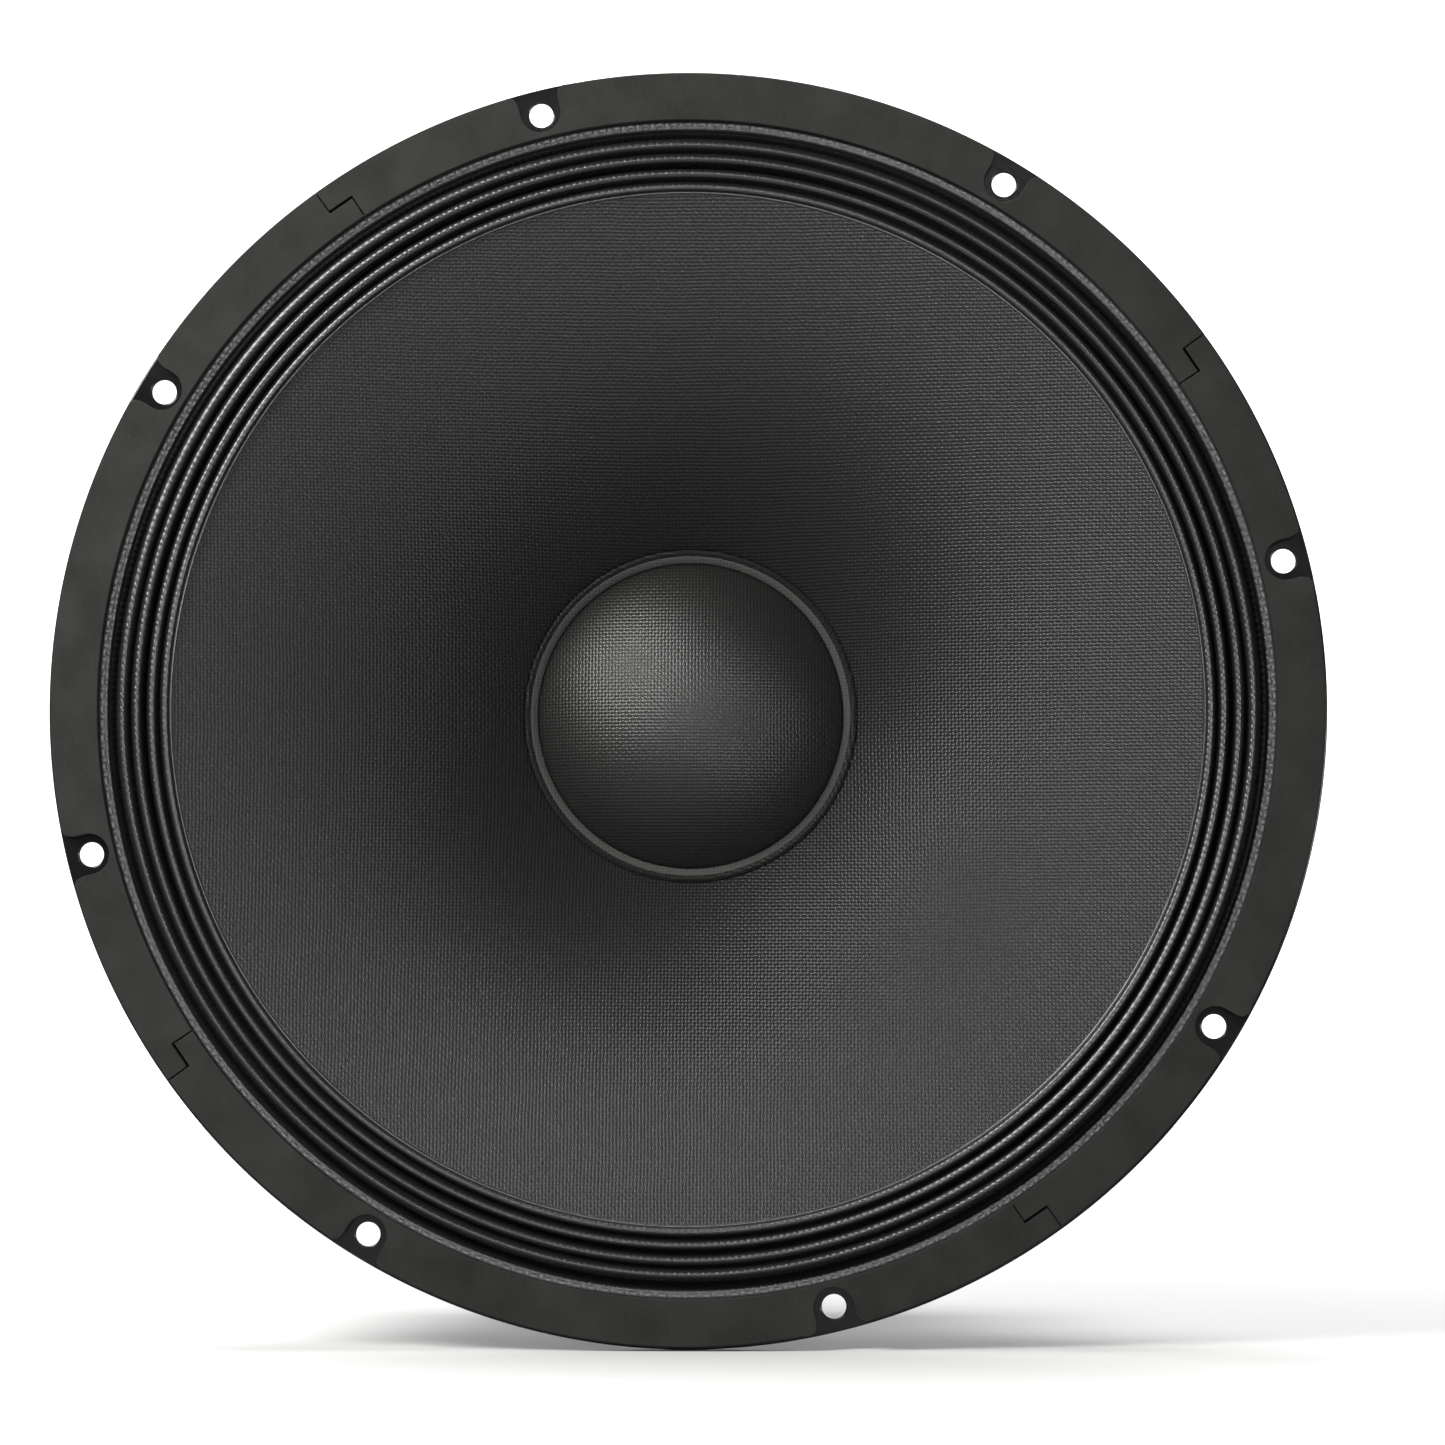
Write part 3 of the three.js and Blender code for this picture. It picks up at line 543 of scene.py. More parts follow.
@dataclass(frozen=True)
class Finish:
    """A finish of one colour, with dust and the shared parts of every material."""

    name: str
    colour: Colour
    roughness: float
    metallic: float = 0.0
    coat: float = 0.0
    specular: float = 0.5
    dust: float = 0.03

    def rgba(self, share: float = 1.0) -> tuple[float, float, float, float]:
        """The finish's colour, made lighter or darker."""
        return (*(min(1.0, part * share) for part in self.colour), 1.0)

    def begin(self) -> tuple[Material, Graph, Node, Socket]:
        """A new material with its Principled shader's plain values set.

        Returns:
            The material, its graph, the shader node and the object coordinates.
        """
        material = bpy.data.materials.new(self.name)
        material.use_nodes = True
        graph = Graph(material.node_tree)
        shader = material.node_tree.nodes["Principled BSDF"]
        graph.feed(
            shader,
            Base_Color=self.rgba(),
            Roughness=self.roughness,
            Metallic=self.metallic,
            Coat_Weight=self.coat,
            Coat_Roughness=COAT_ROUGHNESS,
            Specular_IOR_Level=self.specular,
        )
        return material, graph, shader, graph.node("ShaderNodeTexCoord").outputs["Object"]

    def grouped(self, graph: Graph, name: str, **inputs: object) -> Node:
        """A shared group placed in this material with its own values."""
        made = graph.node("ShaderNodeGroup", node_tree=Groups.get(name))
        return graph.feed(made, **inputs)

    def dusted(self, graph: Graph, vector: Socket, colour: object) -> Socket:
        """The colour under a veil of dust."""
        mask = self.grouped(graph, "Dust", Vector=vector, Amount=self.dust).outputs["Mask"]
        return graph.mix(mask, colour, DUST_COLOUR)

    def relief(self, graph: Graph, shader: Node, height: object, distance: float, strength: float) -> None:
        """Raises the surface by a height times a distance in millimetres."""
        bump = graph.node("ShaderNodeBump")
        graph.feed(bump, Height=height, Distance=distance * MM, Strength=strength)
        graph.feed(shader, Normal=bump.outputs[0])

    def material(self) -> Material:
        """A smooth coloured surface with faint unevenness in its gloss."""
        material, graph, shader, vector = self.begin()
        grain = self.grouped(graph, "Grain", Vector=vector, Scale=900.0)
        rough = graph.linear(grain.outputs["Mottle"], 0.12, self.roughness - 0.06)
        graph.feed(shader, Base_Color=self.dusted(graph, vector, self.rgba()), Roughness=rough)
        self.relief(graph, shader, grain.outputs["Speckle"], 0.02, 0.35)
        return material


@dataclass(frozen=True)
class Woven(Finish):
    """Cloth, or paper embossed with cloth, whose threads show."""

    pitch: float = 0.85
    lay: Lay = Lay.SQUARE
    depth: float = 0.16
    strength: float = 0.8
    waver: float = 0.35
    # painted shade: the share of the colour left in the gaps between threads
    painted_gap_shade: float = 0.55
    smooth_from: float | None = None
    fade: float = 1.5

    def coordinates(self, graph: Graph, vector: Socket) -> Socket:
        """The two coordinates that the threads run along."""
        if self.lay is Lay.WRAPPED:
            return graph.node("ShaderNodeUVMap").outputs[0]
        x, _, z = graph.split(vector)
        return graph.feed(graph.node("ShaderNodeCombineXYZ"), X=x, Y=z).outputs[0]

    def border(self, graph: Graph, vector: Socket) -> object:
        """1 where the weave shows, falling to 0 past the radius from which the surface is smooth."""
        if self.smooth_from is None:
            return 1.0
        past = graph.math("SUBTRACT", graph.from_axis(vector), self.smooth_from * MM)
        return graph.math("SUBTRACT", 1.0, graph.times(past, 1 / (self.fade * MM)))

    def material(self) -> Material:
        """Threads in relief, with painted shade in the gaps between them, over a slow mottling."""
        material, graph, shader, vector = self.begin()
        lay = self.coordinates(graph, vector)
        weave = self.grouped(graph, "Weave", Vector=lay, Pitch=self.pitch * MM, Waver=self.waver)
        grain = self.grouped(graph, "Grain", Vector=vector, Scale=700.0)
        shown = graph.feed(graph.node("ShaderNodeClamp"), Value=self.border(graph, vector)).outputs[0]
        # painted shade: the colour falls towards the gap colour where the threads are low
        shade = graph.times(weave.outputs["Shade"], 1.25)
        light = graph.linear(graph.math("SUBTRACT", shade, 1.0), shown, 1.0)
        threads = graph.mix(light, self.rgba(self.painted_gap_shade), self.rgba())
        mottled = graph.mix(grain.outputs["Mottle"], threads, self.rgba(1.25))
        mixed = graph.mix(0.35, threads, mottled)
        rough = graph.linear(weave.outputs["Height"], -0.12, self.roughness + 0.06)
        graph.feed(shader, Base_Color=self.dusted(graph, vector, mixed), Roughness=rough)
        height = graph.times(weave.outputs["Height"], shown)
        fibres = graph.linear(grain.outputs["Speckle"], 0.4, height)
        self.relief(graph, shader, fibres, self.depth, self.strength)
        return material


@dataclass(frozen=True)
class Board(Finish):
    """Compressed fibreboard: short fibres, pale specks and rubbed patches."""

    def material(self) -> Material:
        """Stretched noise for the fibres, over speckle and mottling."""
        material, graph, shader, vector = self.begin()
        grain = self.grouped(graph, "Grain", Vector=vector, Scale=1100.0)
        stretch = graph.node("ShaderNodeMapping")
        graph.feed(stretch, Vector=vector, Rotation=(0.0, 0.6, 0.0), Scale=(900.0, 300.0, 260.0))
        fibre = graph.noise(stretch.outputs[0], 1.0, 5.0)
        specks = graph.math("GREATER_THAN", graph.noise(vector, 1700.0, 2.0), 0.69)
        worn = graph.mix(grain.outputs["Mottle"], self.rgba(0.35), self.rgba(1.6))
        fibred = graph.mix(graph.times(fibre, 0.5), worn, self.rgba(1.5))
        spotted = graph.mix(graph.times(specks, 0.35), fibred, self.rgba(3.0))
        graph.feed(shader, Base_Color=self.dusted(graph, vector, spotted))
        height = graph.linear(fibre, 0.6, grain.outputs["Speckle"])
        self.relief(graph, shader, height, 0.12, 0.6)
        return material


@dataclass(frozen=True)
class TurnedMetal(Finish):
    """Plated steel with the marks of a lathe on its flat faces."""

    spacing: float = 0.55

    def material(self) -> Material:
        """Rings about the driver's axis, with tarnish in patches."""
        material, graph, shader, vector = self.begin()
        rings = self.grouped(graph, "Rings", Vector=vector, Spacing=self.spacing * MM)
        grain = self.grouped(graph, "Grain", Vector=vector, Scale=420.0)
        tint = graph.mix(grain.outputs["Mottle"], self.rgba(0.8), self.rgba(1.15))
        rough = graph.linear(grain.outputs["Mottle"], 0.3, self.roughness - 0.12)
        graph.feed(shader, Base_Color=self.dusted(graph, vector, tint), Roughness=rough)
        self.relief(graph, shader, rings.outputs["Height"], 0.02, 0.5)
        return material


@dataclass(frozen=True)
class Cast(Finish):
    """A sintered or pressed surface with pores and mottling."""

    scale: float = 520.0

    def material(self) -> Material:
        """Pores where coarse noise is low, over a mottled colour."""
        material, graph, shader, vector = self.begin()
        grain = self.grouped(graph, "Grain", Vector=vector, Scale=self.scale)
        tint = graph.mix(grain.outputs["Mottle"], self.rgba(0.7), self.rgba(1.4))
        graph.feed(shader, Base_Color=self.dusted(graph, vector, tint))
        pores = graph.math("POWER", grain.outputs["Speckle"], 0.5)
        self.relief(graph, shader, pores, 0.15, 0.55)
        return material


@dataclass(frozen=True)
class Table(Finish):
    """A table top that is white to look at, throws little light back up and glows into the distance."""

    bounce: float = 0.35
    near: float = 0.2
    far: float = 0.55
    glow: float = 1.05

    def material(self) -> Material:
        """A plain colour where it is seen, darker for the light that it returns, and white light far out."""
        material, graph, shader, vector = self.begin()
        seen = graph.node("ShaderNodeLightPath").outputs["Is Camera Ray"]
        reach = graph.vectors("LENGTH", vector).outputs["Value"]
        away = graph.node("ShaderNodeMapRange", interpolation_type="SMOOTHSTEP")
        graph.feed(away, Value=reach, From_Min=self.near, From_Max=self.far)
        glow = graph.times(seen, away.outputs[0])
        lit = graph.mix(seen, self.rgba(self.bounce), self.rgba())
        graph.feed(shader, Base_Color=graph.mix(glow, lit, self.rgba(0.0)), Emission_Strength=self.glow)
        graph.feed(shader, Emission_Color=graph.mix(glow, self.rgba(0.0), WHITE))
        return material


ENAMEL = Finish("basket_enamel", (0.0035, 0.0036, 0.004), 0.13, specular=0.4, dust=0.006)
GASKET_BOARD = Board("gasket_board", (0.021, 0.0215, 0.02), 0.9, specular=0.08, dust=0.012)
DOPED_CLOTH = Woven(
    "doped_cloth", (0.0085, 0.0092, 0.0105), 0.36, specular=0.9, dust=0.008,
    pitch=1.6, lay=Lay.WRAPPED, strength=0.7, waver=0.3, painted_gap_shade=0.5,
)
CONE_PAPER = Woven(
    "cone_paper", (0.0075, 0.0079, 0.008), 0.46, specular=0.44, depth=0.21, strength=0.85, dust=0.012,
    waver=0.8, painted_gap_shade=0.4, smooth_from=124.4,
)
CAP_CLOTH = Woven("cap_cloth", (0.0088, 0.009, 0.0085), 0.42, specular=0.58, dust=0.01)
CAP_RIM = Woven("cap_rim", (0.045, 0.046, 0.044), 0.85, specular=0.2, depth=0.12, strength=0.7)
EDGE_GLUE = Finish("edge_glue", (0.02, 0.021, 0.022), 0.3, coat=0.4)
SPIDER_CLOTH = Woven(
    "spider_cloth", (0.42, 0.27, 0.105), 0.8, pitch=0.7, lay=Lay.WRAPPED, depth=0.2, painted_gap_shade=0.45, specular=0.3,
)
FILM = Finish("former_film", (0.35, 0.15, 0.03), 0.35, coat=0.3)
COPPER = TurnedMetal("copper_winding", (0.72, 0.33, 0.16), 0.38, metallic=0.9, spacing=0.3)
FERRITE = Cast("ferrite", (0.034, 0.034, 0.037), 0.62)
ZINC = TurnedMetal("zinc_plate", (0.47, 0.46, 0.42), 0.36, metallic=0.92)
NICKEL = Finish("nickel_plate", (0.6, 0.59, 0.56), 0.22, metallic=1.0, dust=0.02)
PHENOLIC = Cast("phenolic_board", (0.11, 0.045, 0.018), 0.55, scale=700.0)
RED_PLASTIC = Finish("red_plastic", (0.42, 0.018, 0.016), 0.3, coat=0.2)
BLACK_PLASTIC = Finish("black_plastic", (0.016, 0.016, 0.017), 0.32, coat=0.2)
BRAID = Woven(
    "lead_braid", (0.62, 0.40, 0.24), 0.4, metallic=0.75, pitch=0.42, lay=Lay.WRAPPED, depth=0.2, strength=1.0,
    waver=0.1,
)
FLOOR_WHITE = Table("studio_floor", (0.62, 0.62, 0.62), 0.7, specular=0.1)


class Wardrobe:
    """Hands out each finish's material, made once."""

    made: dict[str, Material] = {}

    @classmethod
    def dress(cls, piece: Piece, finish: Finish) -> None:
        """Puts a finish on a piece's only slot, or on a CAD node's."""
        if finish.name not in cls.made:
            cls.made[finish.name] = finish.material()
        if piece.data.materials:
            for slot in piece.material_slots:
                slot.material = cls.made[finish.name]
        else:
            piece.data.materials.append(cls.made[finish.name])


def install(piece: Piece, finish: Finish, body: str, *nodes: str, slot: str) -> None:
    """Dresses a finished piece, puts it on its body and names what it stands for.

    Args:
        piece: The piece.
        finish: Its finish.
        body: The body that it rides on.
        *nodes: The CAD nodes that it replaces.
        slot: The record's material slot for its finish; not used.
    """
    Wardrobe.dress(piece, finish)
    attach(piece, body)
    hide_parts(*nodes)
    log.info("%s stands for %s", piece.name, ", ".join(nodes))


def install_soft(
    piece: Piece,
    finish: Finish,
    node: str,
    *,
    share: Array | None = None,
) -> None:
    """Dresses a flexible piece, bakes its place into its mesh, and names what it stands for.

    Args:
        piece: The flexible piece, with its mesh final.
        finish: Its finish.
        node: The CAD node that it replaces.
        share: Not used. 0 where a vertex stays with the basket and 1 where it moves with the body, for a piece that
            is round and can't be shared out along the one line from start to end.
    """
    Wardrobe.dress(piece, finish)
    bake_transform(piece)
    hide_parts(node)
    log.info("%s stands for %s", piece.name, node)


def redress(node: str, finish: Finish) -> None:
    """Gives a CAD node that keeps its shape a better material."""
    Wardrobe.dress(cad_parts[node], finish)
    log.info("%s keeps its shape", node)


# ---- basket ----


@dataclass
class TerminalPlace:
    """The frame that the terminals stand in: X across the arm, Y up the slope to the flange, Z out of the pad."""

    arm_angle: float = 135.0
    wall_front: tuple[float, float] = (136.0, 8.45)
    wall_rear: tuple[float, float] = (81.0, 64.2)
    radius: float = 108.0
    lift: float = 1.8

    def matrix(self) -> Matrix:
        """The frame as a matrix, in metres."""
        front, rear = np.array(self.wall_front), np.array(self.wall_rear)
        along = unit(rear - front)
        angle = np.radians(self.arm_angle)
        outward_way = np.array([np.cos(angle), 0, np.sin(angle)])
        z = outward_way * along[1] + np.array([0, -along[0], 0])
        y = -outward_way * along[0] - np.array([0, along[1], 0])
        x = np.cross(y, z)
        depth = front[1] + (front[0] - self.radius) / (front[0] - rear[0]) * (rear[1] - front[1])
        place = outward_way * self.radius + np.array([0, depth, 0]) + z * self.lift
        matrix = Matrix(np.column_stack([x, y, z]).tolist()).to_4x4()
        matrix.translation = Vector(place * MM)
        return matrix


@dataclass
class Basket:
    """The pressed-steel basket: a flat flange, a windowed wall with ribbed arms, a spider ledge and a vented neck."""

    sheet: float = 1.5
    bend_radius: float = 142.5
    bends: tuple[tuple[float, float, float], ...] = (
        (139.4, -0.75, 2.6), (136.6, 7.0, 2.2), (81.0, 63.4, 3.0), (78.2, 67.75, 2.6), (68.2, 67.75, 3.4),
    )
    neck: tuple[float, float] = (61.4, 4.0)
    coil_hole: float = 41.0
    hole_circle: float = 148.8
    hole_radius: float = 2.95
    hole_count: int = 8
    first_hole: float = 13.8
    window_y: tuple[float, float] = (14.0, 56.0)
    window_half: tuple[float, float] = (58.0, 38.0)
    window_corner: float = 9.0
    window_span: float = 30.0
    slot_middle: float = 22.5
    slot_span: float = 7.5
    slot_y: tuple[float, float] = (74.0, 86.0)
    slot_half: float = 8.0
    lip_width: float = 5.0
    lip_depth: float = 2.4
    rib_height: float = 2.6
    rib_half: float = 11.0
    rib_slope: float = 4.5
    rib_end: float = 9.0
    rib_start: float = 2.0
    pad_half: tuple[float, float] = (25.0, 15.0)
    pad_corner: float = 4.0
    pad_slope: float = 2.6
    pad_reach: float = 30.0
    columns: int = 288
    terminals: TerminalPlace = field(default_factory=TerminalPlace)

    def hole_angles(self) -> Array:
        """The bolt holes' angles, in radians."""
        return np.radians(self.first_hole + np.arange(self.hole_count) * 360 / self.hole_count)

    def profile(self) -> Array:
        """The middle of the sheet from the flange to the coil's hole, rounded at each bend."""
        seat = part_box("basket")[1].y / MM - self.sheet / 2
        neck, neck_bend = self.neck
        corners = [
            (self.bend_radius, -self.sheet / 2, 0), *self.bends, (neck, seat, neck_bend), (self.coil_hole, seat, 0),
        ]
        return rounded(corners, closed=False, steps=8)

    def rows(self) -> tuple[Array, Array, dict[str, float]]:
        """The wall's rows.

        Returns:
            Each row's [radius, y], its length along the profile, and the lengths of the windows' and slots' edges.
        """
        path = self.profile()
        along = lengths(path)
        marks = {}
        for key, y in zip(("front", "rear", "slot_front", "slot_rear"), (*self.window_y, *self.slot_y)):
            marks[key] = float(np.interp(y, path[:, 1], along))
        stops = [0.0, *marks.values(), float(along[-1])]
        steps = (26, 52, 26, 12, 24)
        stations = np.concatenate(
            [np.linspace(a, b, n, endpoint=False) for a, b, n in zip(stops, stops[1:], steps)] + [[stops[-1]]]
        )
        return stationed(path, stations), stations, marks

    def window_width(self, y: Array) -> Array:
        """Half the window's width at a depth: a straight taper whose corners are quadratic curves."""
        t = np.linspace(0, 1, 12)[:, None]
        front = np.array([self.window_y[0], self.window_half[0]])
        rear = np.array([self.window_y[1], self.window_half[1]])
        side = unit(rear - front) * self.window_corner
        inward = np.array([0, -self.window_corner])
        outline = np.vstack([bend(front + inward, front, front + side, t), bend(rear - side, rear, rear + inward, t)])
        return np.interp(y, outline[:, 0], outline[:, 1])

    def angles(self, rows: Array, stations: Array, marks: dict[str, float]) -> Array:
        """Each grid column's angle on each row, so that columns run along the windows' and slots' sides.

        Even columns at half of window_span and at window_span from each window's middle are moved to the angles a and
        b of each row, and the columns between them are spread evenly.
        """
        even = np.arange(self.columns) * 90.0 / (self.columns / 4)
        width = self.window_width(rows[:, 1])
        window = np.degrees(np.arcsin(np.clip(width / rows[:, 0], 0, 1)))
        slot = np.degrees(np.arcsin(self.slot_half / rows[:, 0]))
        in_window = (stations >= marks["front"] - 1e-6) & (stations <= marks["rear"] + 1e-6)
        in_slot = (stations >= marks["slot_front"] - 1e-6) & (stations <= marks["slot_rear"] + 1e-6)
        fixed = in_window | in_slot
        fixed[[0, -1]] = True
        span = self.window_span
        a = np.where(in_window, window / 2, np.where(in_slot, self.slot_middle - slot, span / 2))
        b = np.where(in_window, window, np.where(in_slot, self.slot_middle + slot, span))
        a = np.interp(stations, stations[fixed], a[fixed])
        b = np.interp(stations, stations[fixed], b[fixed])
        quarter, rest = np.divmod(even, 90.0)
        known = np.array([0, span / 2, span, 90 - span, 90 - span / 2, 90])
        turned_rest = np.stack([np.interp(rest, known, [0, p, q, 90 - q, 90 - p, 90]) for p, q in zip(a, b)])
        return np.radians(turned_rest + quarter * 90)

    def kept(self, stations: Array, marks: dict[str, float]) -> Array:
        """Which of the grid's faces are steel: all but the windows and the slots."""
        middle = (stations[:-1] + stations[1:]) / 2
        spot = (np.arange(self.columns) + 0.5) * 360 / self.columns
        from_window = np.abs((spot + 45) % 90 - 45)
        from_slot = np.abs(spot % 45 - self.slot_middle)
        window_rows = (middle > marks["front"]) & (middle < marks["rear"])
        slot_rows = (middle > marks["slot_front"]) & (middle < marks["slot_rear"])
        window = window_rows[:, None] & (from_window < self.window_span)[None]
        slot = slot_rows[:, None] & (from_slot < self.slot_span)[None]
        return ~(window | slot)

    def pressing(self, rows: Array, stations: Array, angles: Array, marks: dict) -> Array:
        """How far the steel is pressed outwards at each point, in millimetres.

        A window's lip bends inwards by lip_depth (1 - d / lip_width)^2 at a distance d from its edge, and each arm
        carries a raised rib whose section is an ease curve.
        """
        across = np.degrees(angles)
        from_window = np.radians(np.abs((across + 45) % 90 - 45))
        lateral = rows[:, :1] * np.sin(from_window)
        width = self.window_width(rows[:, 1])[:, None]
        beside = np.maximum(lateral - width, 0)
        beyond = np.maximum(np.maximum(marks["front"] - stations, stations - marks["rear"]), 0)[:, None]
        edge = np.hypot(beside, beyond)
        lip = -self.lip_depth * np.clip(1 - edge / self.lip_width, 0, 1) ** 2
        from_arm = np.abs(across % 90 - 45)
        arm_lateral = rows[:, :1] * np.sin(np.radians(from_arm))
        rib_side = smoothstep((self.rib_half - arm_lateral) / self.rib_slope)
        from_front = stations - marks["front"] + self.rib_start
        from_rear = marks["rear"] + self.rib_end - stations
        rib_ends = smoothstep(from_front / self.rib_end) * smoothstep(from_rear / self.rib_end)
        plain = np.abs(across - self.terminals.arm_angle) > self.window_span
        return lip + self.rib_height * rib_side * rib_ends[:, None] * plain

    def padded_out(self, points: Array) -> Array:
        """The wall with a flat rounded pad pressed out where the terminals stand."""
        place = np.array(self.terminals.matrix(), float)
        spot = (points - place[:3, 3] / MM) @ place[:3, :3]
        reach = np.abs(spot[..., :2]) - (np.array(self.pad_half) - self.pad_corner)
        edge = np.linalg.norm(np.maximum(reach, 0), axis=-1) - self.pad_corner
        share = smoothstep(1 - edge / self.pad_slope) * (spot[..., 2] > -self.pad_reach)
        rise = (-self.sheet / 2 - spot[..., 2]) * share
        return points + rise[..., None] * place[:3, 2]

    def make_wall(self) -> Piece:
        """The windowed wall, ledge and neck: radius, depth and angle by row and column, pressed along the normal."""
        rows, stations, marks = self.rows()
        angles = self.angles(rows, stations, marks)
        slope = unit(np.gradient(rows, stations, axis=0))
        press = self.pressing(rows, stations, angles, marks)
        radius = rows[:, :1] + press * slope[:, 1:]
        depth = rows[:, 1:] - press * slope[:, :1]
        points = self.padded_out(polar(radius, angles, depth))
        wall = grid_piece("basket_wall", points, round_rows=False, keep=self.kept(stations, marks), sharp=60.0)
        skin = wall.modifiers.new("sheet", "SOLIDIFY")
        skin.thickness = self.sheet * MM
        skin.offset = 0
        return wall

    def make_flange(self) -> Piece:
        """The flat flange, with its bolt holes."""
        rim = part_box("basket")[1].x / MM
        holes = [
            circle(self.hole_radius, centre, 32) for centre in arc(self.hole_circle, self.hole_angles())
        ]
        return plate(
            "basket_flange", [circle(rim, count=360), circle(self.bend_radius, count=360), *holes],
            -self.sheet, 0, 0.35,
        )

    def build(self) -> None:
        """Makes and dresses the basket."""
        for piece in (self.make_wall(), self.make_flange()):
            install(piece, ENAMEL, FRAME_BODY, "basket", slot="basket_enamel")


# ---- gasket ----


@dataclass
class Gasket:
    """Four segments of fibreboard that lock end to end by stepped joints, notched at each bolt."""

    inner: float = 142.6
    outer: float = 154.0
    joint_radius: float = 148.2
    segments: int = 4
    first_joint: float = 34.5
    step_half: float = 3.3
    slit: float = 0.3
    notch: float = 4.9
    flare: tuple[tuple[float, float], ...] = ((0.0, 1.9), (0.7, 0.6), (2.4, 0.0))
    front: float = -7.0
    rear: float = -1.6
    basket: Basket = field(default_factory=Basket)

    def rim_with_notches(self, start: float, end: float) -> Array:
        """The outer edge between two angles, dipping into a U round each bolt hole on the way.

        A notch is an arc about the hole's centre, with straight sides and corners that flare into the rim. Each
        point of flare is how far in from the rim, and how far out from the notch's side, a corner's point lies.
        """
        turn = np.linspace(-np.pi / 2, -3 * np.pi / 2, 21)
        corner = np.array(self.flare)
        u = np.concatenate([self.outer - corner[:, 0], self.basket.hole_circle + self.notch * np.cos(turn)])
        v = np.concatenate([-self.notch - corner[:, 1], self.notch * np.sin(turn)])
        u = np.concatenate([u, u[2::-1]])
        v = np.concatenate([v, -v[2::-1]])
        points = [arc(self.outer, np.array([start]))]
        last = start
        every = np.concatenate([self.basket.hole_angles() + k * TURN for k in (0, 1)])
        for angle in every[(every > start) & (every < end)]:
            side = np.arcsin((self.notch + corner[0, 1]) / self.outer)
            points.append(arc(self.outer, np.linspace(last, angle - side, 40)[1:-1]))
            spin = np.array([[np.cos(angle), np.sin(angle)], [-np.sin(angle), np.cos(angle)]])
            points.append(np.stack([u, v], axis=-1) @ spin)
            last = angle + side
        points.append(arc(self.outer, np.linspace(last, end, 40)[1:]))
        return np.vstack(points)

    def outline(self, start: float, end: float) -> Array:
        """One segment's outline from its first joint to its next, as [x, z] points."""
        step = self.step_half / self.joint_radius
        slit = self.slit / 2 / self.joint_radius
        rim = self.rim_with_notches(start + step + slit, end + step - slit)
        late = arc(self.joint_radius + self.slit, np.array([end + step - slit, end - step - slit]))
        inner = arc(self.inner, np.linspace(end - step - slit, start - step + slit, 90))
        early = arc(self.joint_radius - self.slit, np.array([start - step + slit, start + step + slit]))
        return np.vstack([rim, late, inner, early])

    def build(self) -> None:
        """Makes and dresses the segments."""
        for k in range(self.segments):
            start = np.radians(self.first_joint + k * 360 / self.segments)
            outline = self.outline(start, start + TURN / self.segments)
            name = f"gasket_segment_{k + 1}"
            piece = plate(f"{name}_board", [outline], self.front, self.rear, 0.25)
            install(piece, GASKET_BOARD, FRAME_BODY, name, slot="gasket_board")


# ---- cone, surround and dust cap ----


@dataclass
class ConeSurface:
    """The cone's flare, which steepens towards the neck."""

    edge_radius: float = 125.3
    edge_y: float = -3.2
    neck_radius: float = 33.8
    depth: float = 60.0
    paper: float = 1.0

    def y(self, radius: Array) -> Array:
        """Depth of the front face: edge_y + depth (q + q^3) / 2, where q is the share of the way in to the neck."""
        share = (self.edge_radius - radius) / (self.edge_radius - self.neck_radius)
        return self.edge_y + self.depth * (share + np.maximum(share, 0) ** 3) / 2

    def behind(self, radius: Array, distance: float) -> Array:
        """[radius, y] points at a distance behind the front face."""
        radius = np.asarray(radius, float)
        step = 0.01
        slope = (self.y(radius + step) - self.y(radius - step)) / (2 * step)
        long = np.hypot(slope, 1)
        return np.stack([radius - distance * slope / long, self.y(radius) + distance / long], axis=-1)


